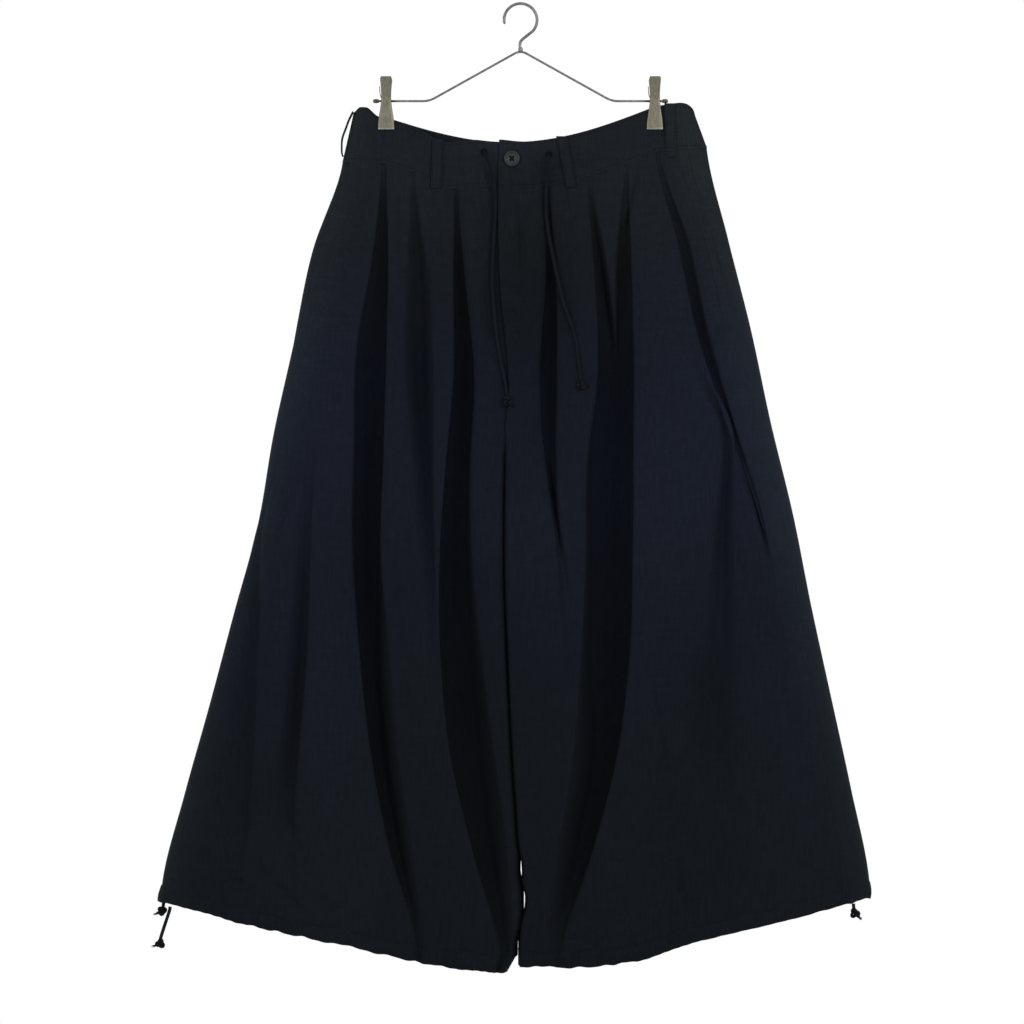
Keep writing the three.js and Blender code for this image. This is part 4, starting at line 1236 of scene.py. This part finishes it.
WAIST_RIGHT = BAND_OUTER["right"][1]
seam_x = mix(159, WAIST_RIGHT, math.sin(0.4 * math.pi / 2))
front_right = [(x, FRONT, 0) for x in spaced_x(-26.3, seam_x, 3)] + [(seam_x + 2, FRONT, 0.9)]
side_right = [(x, FRONT, 0) for x in edge_x(seam_x, WAIST_RIGHT)]
back_all = [(x, BACK, 0) for x in reversed(edge_x(190, WAIST_RIGHT)[:-1])]
back_all += [(x, BACK, 0) for x in spaced_x(190, -186, 3) + edge_x(-186, -204)]
front_left = [(x, FRONT, sunk(x)) for x in reversed(edge_x(-186, -204))]
front_left += [(x, FRONT, sunk(x)) for x in spaced_x(-186, -2.6, 3)]
back_places = [(seam_x, FRONT, 0)] + side_right + back_all
for node, places, face in (
    ("waistband_front_right", front_right, FRONT),
    ("waistband_back", back_places, BACK),
    ("waistband_front_left", front_left, FRONT),
):
    sheet_piece(
        "band_" + node, band_strip(places), BAND, (0, face, 0), BAND_THICKNESS,
        "waistband", node, BAND_RIM,
    )
    print(node, len(places), "columns")

# %% [markdown]
# ## Belt loops
# A belt loop is a narrow folded strip, tacked flat at both ends and standing a little clear
# of the band between them. Two show on the front, one at each side, and one is at the back.

# %% Belt loops
LOOP_WIDTH, LOOP_LENGTH, LOOP_THICKNESS = 12.5, 58.0, 1.1
SIDE_LOOP_LENGTH, SIDE_LOOP_THICKNESS = 47.0, 1.9
LOOP_ROWS, LOOP_RIM = 24, 0.5
LOOP_COLUMNS = np.linspace(-0.5, 0.5, 9)


def band_seat(x, drop, half, face):
    reach = half / BAND_HEIGHT
    tests = [(a, b) for a in (-1, 0, 1) for b in (-1, 0, 1)]
    out = max(abs(band_point(x + a * half, min(1, drop + b * reach), face)[1]) for a, b in tests)
    return x, face * (out + BAND_THICKNESS / 2 + 0.1), band_level(x, drop, face)


def loop_grid(top_x, bottom_x, face, stand, length=LOOP_LENGTH):
    rows = []
    for r in range(LOOP_ROWS + 1):
        v = r / LOOP_ROWS
        drop = v * length / BAND_HEIGHT - 0.01
        lift = LOOP_THICKNESS / 2 + stand * rounded(2 * min(v, 1 - v))
        x, y, z = band_seat(mix(top_x, bottom_x, v), drop, LOOP_WIDTH / 2, face)
        wide = LOOP_WIDTH * (1 - 0.05 * math.sin(math.pi * v))
        cup = [0.35 * (1 - (2 * w) ** 2) for w in LOOP_COLUMNS]
        rows.append([(x + w * wide, y + face * (lift + c), z) for w, c in zip(LOOP_COLUMNS, cup)])
    return np.array(rows)


def side_loop_grid():
    rows = []
    for r in range(LOOP_ROWS + 1):
        v = r / LOOP_ROWS
        drop = v * SIDE_LOOP_LENGTH / BAND_HEIGHT - 0.01
        lift = 0.8 + 5.2 * math.sin(math.pi * v ** 1.25) ** 0.7
        lift += 0.35 * math.sin(13 * v) * math.sin(math.pi * v)
        edge = mix(*BAND_OUTER["left"], drop)
        x = edge - BAND_THICKNESS / 2 - lift
        rows.append([(x, w * LOOP_WIDTH, band_level(edge, drop, BACK)) for w in LOOP_COLUMNS])
    return np.array(rows)


LOOPS = {
    "belt_loop_front_left": (loop_grid(-95, -97, FRONT, 0.6), (0, -1, 0), LOOP_THICKNESS),
    "belt_loop_front_right": (loop_grid(47, 58, FRONT, 0.6, 61.0), (0, -1, 0), LOOP_THICKNESS),
    "belt_loop_side_left": (side_loop_grid(), (-1, 0, 0), SIDE_LOOP_THICKNESS),
    "belt_loop_side_right": (loop_grid(171.5, 172.5, FRONT, 0.5, 62.0), (0, -1, 0), LOOP_THICKNESS),
    "belt_loop_back": (loop_grid(-8, -8, BACK, 0.8), (0, 1, 0), LOOP_THICKNESS),
}
for node, (grid, way, thickness) in LOOPS.items():
    sheet_piece("strip_" + node, grid, BAND, way, thickness, "waistband", node, LOOP_RIM)
print("belt loops:", len(LOOPS))

# %% [markdown]
# ## Pocket edges
# The pockets open in the side seams. Only the doubled front edge of each shows, a strip
# that lies on the panel beside the seam, so it is made from the panel's own points.

# %% Pocket edges
def grid_normals(grid, out):
    across = np.gradient(grid, axis=1)
    down = np.gradient(grid, axis=0)
    normal = np.cross(across, down)
    normal /= np.maximum(1e-9, np.linalg.norm(normal, axis=2))[:, :, None]
    if (normal @ np.array(out)).sum() < 0:
        normal = -normal
    return normal


POCKET_TOP, POCKET_BOTTOM = 0.04, 0.25
POCKET_COLUMNS = {"left": 15, "right": 9}
POCKET_THICKNESS, POCKET_RIM = 0.6, 0.25
pocket_edges, pocket_grids = {}, {}
for side, (ring, seam) in legs.items():
    first, last = (int(share * (LEG_ROWS - 1)) for share in (POCKET_TOP, POCKET_BOTTOM))
    whole = ring[first:last + 1]
    normals = grid_normals(whole, (0, FRONT, 0))
    last = len(whole) - 1
    ends = np.array([smooth(min(r, last - r) / 4) for r in range(last + 1)])[:, None, None]
    strip = (whole + normals * (0.35 + 0.3 * ends))[:, seam - POCKET_COLUMNS[side]:seam]
    pocket_grids[side] = strip
    node = f"pocket_edge_{side}"
    pocket_edges[node] = sheet_piece(
        "fold_" + node, strip, CLOTH, (0, FRONT, 0), POCKET_THICKNESS, "cloth", node, POCKET_RIM
    )
    print(node, strip.shape[:2])

# %% [markdown]
# ## Stitching
# Rows of machine stitches hold the band, the casings, the loops and the pocket edges. Each
# stitch is a short bar that lies on the cloth. They are joined into one mesh for each piece.

# %% Stitch rows
STITCH, STITCH_GAP, STITCH_THICKNESS = 2.6, 1.0, 0.26


def stitch_rows(name, lines):
    bm = bmesh.new()
    count = 0
    for line, outs in lines:
        points, ways, _ = line_places(line, outs, (STITCH + STITCH_GAP) / 2)
        for i in range(0, len(points) - 2, 2):
            a, b = Vector(points[i]), Vector(points[i + 1])
            run = (b - a).normalized()
            out = Vector(ways[i])
            side_way = run.cross(out).normalized()
            up = side_way.cross(run)
            turn = Matrix((run, side_way, up)).transposed().to_4x4()
            middle = (a + b) / 2 + up * 0.05
            size = Matrix.Diagonal((STITCH * MM, STITCH_THICKNESS * 1.2 * MM, STITCH_THICKNESS * MM, 1))
            bmesh.ops.create_cube(bm, size=1, matrix=Matrix.Translation(middle * MM) @ turn @ size)
            count += 1
    made = object_from(bm, name, THREAD)
    print(name, count, "stitches")
    return ride(made, "cloth")


def surface_rows(grid, out, row_shares, lift):
    normals = grid_normals(grid, out)
    lifted = grid + normals * lift
    last = len(grid) - 1
    return [(lifted[int(round(s * last))], normals[int(round(s * last))]) for s in row_shares]


def surface_columns(grid, out, columns, lift):
    normals = grid_normals(grid, out)
    lifted = grid + normals * lift
    return [(lifted[:, c], normals[:, c]) for c in columns]


print("a stitch with its gap takes", STITCH + STITCH_GAP, "mm")

# %% [markdown]
# ## Where the stitches run
# The band has a row near each edge, the loops one along each side, the casings one below
# the seam that holds the cord in, and the pocket edges one beside their fold.

# %% Where the stitches run
FRONT_WAY = (0, FRONT, 0)
BAND_ROW_SHARES = (0.06, 0.90)
band_lines = []
for places in (front_right, front_left):
    shown = [p for p in places if p[2] < 0.8]
    band_lines += surface_rows(band_strip(shown), FRONT_WAY, BAND_ROW_SHARES, BAND_THICKNESS / 2 + 0.1)
band_grid = band_strip(back_places)
ring_out = level_normals(band_grid[BAND_ROWS // 2], len(back_places) // 2, BACK)
for share in BAND_ROW_SHARES:
    row = band_grid[int(round(share * (BAND_ROWS + 1)))]
    band_lines.append((row + ring_out * (BAND_THICKNESS / 2 + 0.1), ring_out))
stitch_rows("band_stitches", band_lines)

loop_lines = []
for grid, way, _ in LOOPS.values():
    loop_lines += surface_columns(grid, way, (1, 7), LOOP_THICKNESS / 2 + 0.05)
stitch_rows("loop_stitches", loop_lines)

casing_lines = []
for side, (ring, _) in legs.items():
    outs = level_normals(ring[-1], 5, FRONT)
    grid = casing_grid(LEGS[side], ring[-1], outs)
    points, ways, _ = line_places(ring[-1], outs, CASING_STEP)
    casing_lines.append((grid[1] + ways * (CASING_THICKNESS / 2 + 0.1), ways))
stitch_rows("hem_stitches", casing_lines)

pocket_lines = []
for strip in pocket_grids.values():
    pocket_lines += surface_columns(strip, FRONT_WAY, (-3,), 0.32)
stitch_rows("pocket_stitches", pocket_lines)

# %% [markdown]
# ## Button
# The button is turned from dull plastic: a raised rim, a sunk ring and a flat middle with
# four holes. The profile is spun round, four drills cut the holes, and crossed thread
# holds it on.

# %% Button and its thread
BUTTON_PLACE = band_seat(-10, 0.36, 9, FRONT)
HOLE_OFFSET, HOLE_RADIUS = 1.9, 1.1
profile = [
    (0, 0), (6.6, 0), (8.4, 0.7), (9.0, 1.5), (9.0, 2.3), (8.7, 2.9), (8.1, 3.2), (7.5, 3.1),
    (7.1, 2.7), (6.8, 2.2), (6.3, 1.95), (5.4, 2.0), (4.6, 2.15), (4.2, 2.05), (3.9, 1.9),
    (0, 1.9),
]
turned = lathe("turned_button", profile, BUTTON, 40)
drills = bmesh.new()
for a, b in ((1, 1), (-1, 1), (1, -1), (-1, -1)):
    bmesh.ops.create_cone(
        drills, cap_ends=True, segments=14, radius1=HOLE_RADIUS * MM, radius2=HOLE_RADIUS * MM,
        depth=9 * MM, matrix=Matrix.Translation((a * HOLE_OFFSET * MM, b * HOLE_OFFSET * MM, 1.6 * MM)),
    )
drill = object_from(drills, "drill", BUTTON)
cut = turned.modifiers.new("holes", "BOOLEAN")
cut.operation = "DIFFERENCE"
cut.object = drill
bpy.context.view_layer.update()
drilled = bpy.data.meshes.new_from_object(turned.evaluated_get(bpy.context.evaluated_depsgraph_get()))
turned.modifiers.clear()
turned.data = drilled
bpy.data.objects.remove(drill)
to_front = Matrix.Translation(Vector(BUTTON_PLACE) * MM) @ Matrix.Rotation(math.radians(90), 4, "X")
ride(place(turned, to_front), "button", "button")
strands = []
for a, b in ((1, 1), (-1, 1)):
    for k in (-0.45, 0, 0.45):
        turn = k * a * b
        rise = ((HOLE_OFFSET, 1.2), (1.2, 2.5), (0, 2.8))
        line = [(a * aside + k, b * aside - turn, height) for aside, height in rise]
        line += [(-x + 2 * k, -y - 2 * turn, z) for x, y, z in reversed(line[:-1])]
        strands.append(tube_along(f"strand_{a}_{b}_{k}", smooth_line(line, 4), 0.32, THREAD, 6))
ride(place(join_meshes("button_thread", strands, THREAD), to_front), "button")
print("button at", [round(c, 1) for c in BUTTON_PLACE])

# %% [markdown]
# ## Eyelets
# The cord leaves the band through two small worked eyelets: a hole whose edge is closed
# with close radial stitches. A ring of short thread bars round a rolled edge makes one.

# %% Eyelets
EYELET_BARS = 24


def eyelet(node, x, drop):
    where = band_seat(x, drop, 4.5, FRONT)
    ring = [(2.5, 0.0), (2.7, 0.6), (3.2, 0.9), (3.9, 0.8), (4.4, 0.4), (4.5, 0.0), (2.5, 0.0)]
    profile_line = [(2.5, 0.4), (3.0, 1.1), (3.8, 1.1), (4.6, 0.4)]
    parts = [lathe(node + "_roll", ring, BAND, 30)]
    for k in range(EYELET_BARS):
        turn = 2 * math.pi * k / EYELET_BARS
        bar = [(r * math.cos(turn), r * math.sin(turn), h) for r, h in profile_line]
        parts.append(tube_along(f"{node}_bar_{k}", bar, 0.36, BAND, 5))
    made = join_meshes("worked_" + node, parts, BAND)
    place(made, Matrix.Translation(Vector(where) * MM) @ Matrix.Rotation(math.radians(90), 4, "X"))
    return ride(made, "cord", node)


eyelet("eyelet_left", -42, 0.236)
eyelet("eyelet_right", 32.8, 0.33)
print("eyelets: 2")

# %% [markdown]
# ## Hanger wire and hook
# The hanger is one thin wire bent into a shallow gable with two level arms, and a thicker
# hook stands on its apex. Both are round wire, so each is a tube along its bent line.

# %% Wire, hook and tips
WIRE_RADIUS, HOOK_WIRE = 1.3, 1.7
APEX, BAR, BEND, TIP = -52.0, -110.5, 105.0, 162.4
SLOPE = (-BAR + APEX) / BEND


def bend_points(a, b, c, steps=8):
    a, b, c = Vector(a), Vector(b), Vector(c)
    return [tuple(a.lerp(b, t).lerp(b.lerp(c, t), t)) for t in (i / steps for i in range(steps + 1))]


half_wire = [(TIP, 0, BAR)]
half_wire += bend_points((BEND + 7, 0, BAR), (BEND, 0, BAR), (BEND - 7, 0, BAR + SLOPE * 7))
apex_bend = bend_points((7, 0, APEX - SLOPE * 7), (0, 0, APEX), (-7, 0, APEX - SLOPE * 7))
wire_line = half_wire + apex_bend + [(-x, y, z) for x, y, z in reversed(half_wire)]
ride(tube_along("bent_wire", wire_line, WIRE_RADIUS, STEEL, 16), "hanger_wire", "hanger_wire")

HOOK_RADIUS = 19.0
hook_centre = -HOOK_RADIUS + HOOK_WIRE
stem_foot = APEX - SLOPE * 3.5 + WIRE_RADIUS + 0.3
hook_line = [(0, 0, stem_foot), (0, 0, hook_centre - HOOK_RADIUS - 6)]
for i in range(12):
    turn = -0.34 * math.pi + i / 11 * 1.42 * math.pi
    hook_line.append((HOOK_RADIUS * math.cos(turn), 0, hook_centre + HOOK_RADIUS * math.sin(turn)))
hook_smooth = smooth_line(hook_line, 5)
hook_sizes = [HOOK_WIRE] * (len(hook_smooth) - 3) + [HOOK_WIRE * 0.95, HOOK_WIRE * 0.75, HOOK_WIRE * 0.4]
hook = tube_along("bent_hook", hook_smooth, hook_sizes, STEEL, 18)
collar = lathe("collar", [(0, -2.6), (2.2, -2.6), (2.6, -2.0), (2.6, 1.6), (2.2, 2.4), (0, 2.4)], STEEL, 24)
place(collar, Matrix.Translation((0, 0, (stem_foot + 1.0) * MM)))
ride(hook, "hanger_wire", "hanger_hook")
ride(collar, "hanger_wire")
TIP_PROFILE = [
    (0, 0), (1.6, 0.1), (1.9, 0.6), (2.3, 2.0), (2.5, 3.6), (2.4, 5.0), (1.9, 6.3), (1.0, 7.1),
    (0, 7.3),
]
for side, node in ((-1, "hanger_tip_left"), (1, "hanger_tip_right")):
    bead = lathe("bead_" + node, TIP_PROFILE, TIP_METAL, 24)
    outer_end = Matrix.Translation((side * (TIP + 0.1) * MM, 0, BAR * MM))
    place(bead, outer_end @ Matrix.Rotation(side * math.pi / 2, 4, "Y"))
    ride(bead, "clip_metal", node)
print("wire runs through", len(wire_line), "points")

# %% [markdown]
# ## Spring clips
# Each clip is two stamped plates round a coil spring that sits on the wire. A plate is
# waisted, splays at the top where fingers press it, and closes on the cloth at the bottom
# with a bright rolled lip. Its long edges are turned back, which makes it stiff.

# %% Clip plates
PLATE_LEVELS = {
    "up": [27.6, 26, 24, 18, 12, 7, 2, -5, -12, -18, -24, -28, -31],
    "half": [5.2, 6.1, 6.3, 5.8, 5.4, 5.25, 5.3, 6.0, 7.0, 8.0, 8.8, 9.1, 9.2],
    "out": [13.2, 12.6, 11.8, 9.8, 7.8, 6.2, 4.9, 4.6, 4.4, 4.3, 4.2, 4.2, 4.2],
}
ACROSS = [-1.0, -0.97, -0.88, -0.7, -0.35, 0.0, 0.35, 0.7, 0.88, 0.97, 1.0]
TURNED_BACK = [2.4, 0.9, 0.2, 0.02, 0, 0, 0, 0.02, 0.2, 0.9, 2.4]
PLATE_ROWS, PLATE_THICKNESS, PLATE_RIM = 48, 0.9, 0.25


def plate(name, face):
    rows = []
    for i in range(PLATE_ROWS + 1):
        share = i / PLATE_ROWS
        up = along(PLATE_LEVELS["up"], share)
        half = along(PLATE_LEVELS["half"], share)
        out = along(PLATE_LEVELS["out"], share)
        keep = smooth((share - 0.03) / 0.2)
        back = min(1.0, max(0.25, (out - 2.6) / 3.0)) * (0.4 + 0.6 * keep)
        if up < -2:
            back = min(back, 0.35)
        row = [(face * -w * half, face * (out - b * back), up) for w, b in zip(ACROSS, TURNED_BACK)]
        rows.append(row)
    bm = grid_of(rows)
    bm.normal_update()
    face_way(bm, (0, face, 0))
    made = object_from(bm, name, BRASS)
    thicken(made, PLATE_THICKNESS, PLATE_RIM)
    return made


print("a plate is", PLATE_LEVELS["up"][0] - PLATE_LEVELS["up"][-1], "mm long")

# %% [markdown]
# ## Lips, springs and whole clips
# The lip is a rounded bar along the plate's lower edge. The spring is a coil along the
# wire with one short leg and one long arm. Both clips are the same but for their place.

# %% Lips, springs and whole clips
LIP_SIZE, LIP_ROUND = (18.6, 1.5, 2.6), 0.6
LIP_OUT, LIP_UP = 4.35, -31.7
COIL_TURNS, COIL_STEPS, COIL_LENGTH, COIL_RADIUS, SPRING_WIRE = 4.5, 120, 8.8, 2.6, 0.5


def lip(name, face):
    bm = bmesh.new()
    bmesh.ops.create_cube(bm, size=1, matrix=Matrix.Diagonal((*(c * MM for c in LIP_SIZE), 1)))
    bmesh.ops.bevel(
        bm, geom=bm.edges[:], offset=LIP_ROUND * MM, affect="EDGES", segments=3, profile=0.5,
        material=-1,
    )
    bmesh.ops.translate(bm, verts=bm.verts, vec=(0, face * LIP_OUT * MM, LIP_UP * MM))
    return object_from(bm, name, BRIGHT)


def spring(name):
    coil = []
    for i in range(COIL_STEPS + 1):
        t = i / COIL_STEPS
        angle = 2 * math.pi * COIL_TURNS * t
        x = -COIL_LENGTH / 2 + COIL_LENGTH * t
        coil.append((x, COIL_RADIUS * math.cos(angle), COIL_RADIUS * math.sin(angle)))
    first, last = coil[0], coil[-1]
    arm_bends = ((-3.2, -2.6, 17), (-2.6, -1.0, 8), (-0.6, 0.2, 2.5))
    arm = [(first[0] + dx, first[1] + dy, z) for dx, dy, z in arm_bends]
    leg = [(last[0] + 0.3, last[1] - 1.4, 3), (last[0] + 0.4, last[1] - 4.2, 11)]
    return tube_along(name, smooth_line(arm + coil[::2] + leg, 2), SPRING_WIRE, STEEL, 8)


for side, word in ((-1, "left"), (1, "right")):
    shift = Matrix.Translation((side * CLIP_OFFSET * MM, 0, BAR * MM))
    for face, part in ((FRONT, "front"), (BACK, "back")):
        node = f"clip_{word}_{part}_jaw"
        ride(place(plate("plate_" + node, face), shift), "clip_metal", node)
        ride(place(lip("lip_" + node, face), shift), "clip_metal")
    node = f"clip_{word}_spring"
    ride(place(spring("coil_" + node), shift), "hanger_wire", node)
print("clips: 2")

# %% [markdown]
# ## Floor and light
# A round pale floor lies under the hems, small enough to stay below the photograph's frame,
# and a soft, even white light comes from all round. Such light reaches the flat panels and
# leaves the deep folds dark, which is what shows the pleats of dark cloth.

# %% Floor and lights
FLOOR_HEIGHT, FLOOR_RADIUS = -1.36, 1.85
LIGHTS = {
    "key": dict(where=(2.4, -3.6, 1.0), target=(0, 0, -0.5), size=2.4, power=60),
    "fill": dict(where=(-2.6, -3.2, -0.2), target=(0, 0, -0.6), size=2.4, power=30),
}


def pale_floor():
    bm = bmesh.new()
    middle = Matrix.Translation((0, 0, FLOOR_HEIGHT))
    bmesh.ops.create_circle(bm, cap_ends=True, segments=96, radius=FLOOR_RADIUS, matrix=middle)
    face_way(bm, (0, 0, 1))
    paper = plain_material("pale_paper", (0.84,) * 3, (0.88,) * 3, 3, 0.9, level=0.1)
    object_from(bm, "pale_floor", paper)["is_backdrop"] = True


def area_light(name, where, target, size, power):
    data = bpy.data.lights.new(name, "AREA")
    data.shape = "DISK"
    data.size = size
    data.energy = power
    made = bpy.data.objects.new(name, data)
    made.location = where
    made.rotation_euler = (Vector(target) - Vector(where)).to_track_quat("-Z", "Y").to_euler()
    bpy.context.scene.collection.objects.link(made)


pale_floor()
world = bpy.data.worlds.new("studio")
world.use_nodes = True
fill(world.node_tree, world.node_tree.nodes["Background"], {"Color": (1, 1, 1, 1), "Strength": 1.0})
bpy.context.scene.world = world
for name, facts in LIGHTS.items():
    area_light(name, **facts)
bpy.context.scene.view_settings.view_transform = "Standard"
print("lights:", [*LIGHTS, world.name])


for node, made in panels.items():
    word, side = node.split("_")

# %% [markdown]
# ## Sizes and finish
# Both boxes, the CAD model's and the dressed model's, are measured and printed side by side.
# The dressed model has to keep the CAD model's size, so both boxes are measured.

# %% Measure and finish
low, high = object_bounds()
for axis, *ends in zip("xyz", cad_low, cad_high, low, high):
    print(axis, "CAD and shown:", [round(end, 3) for end in ends])
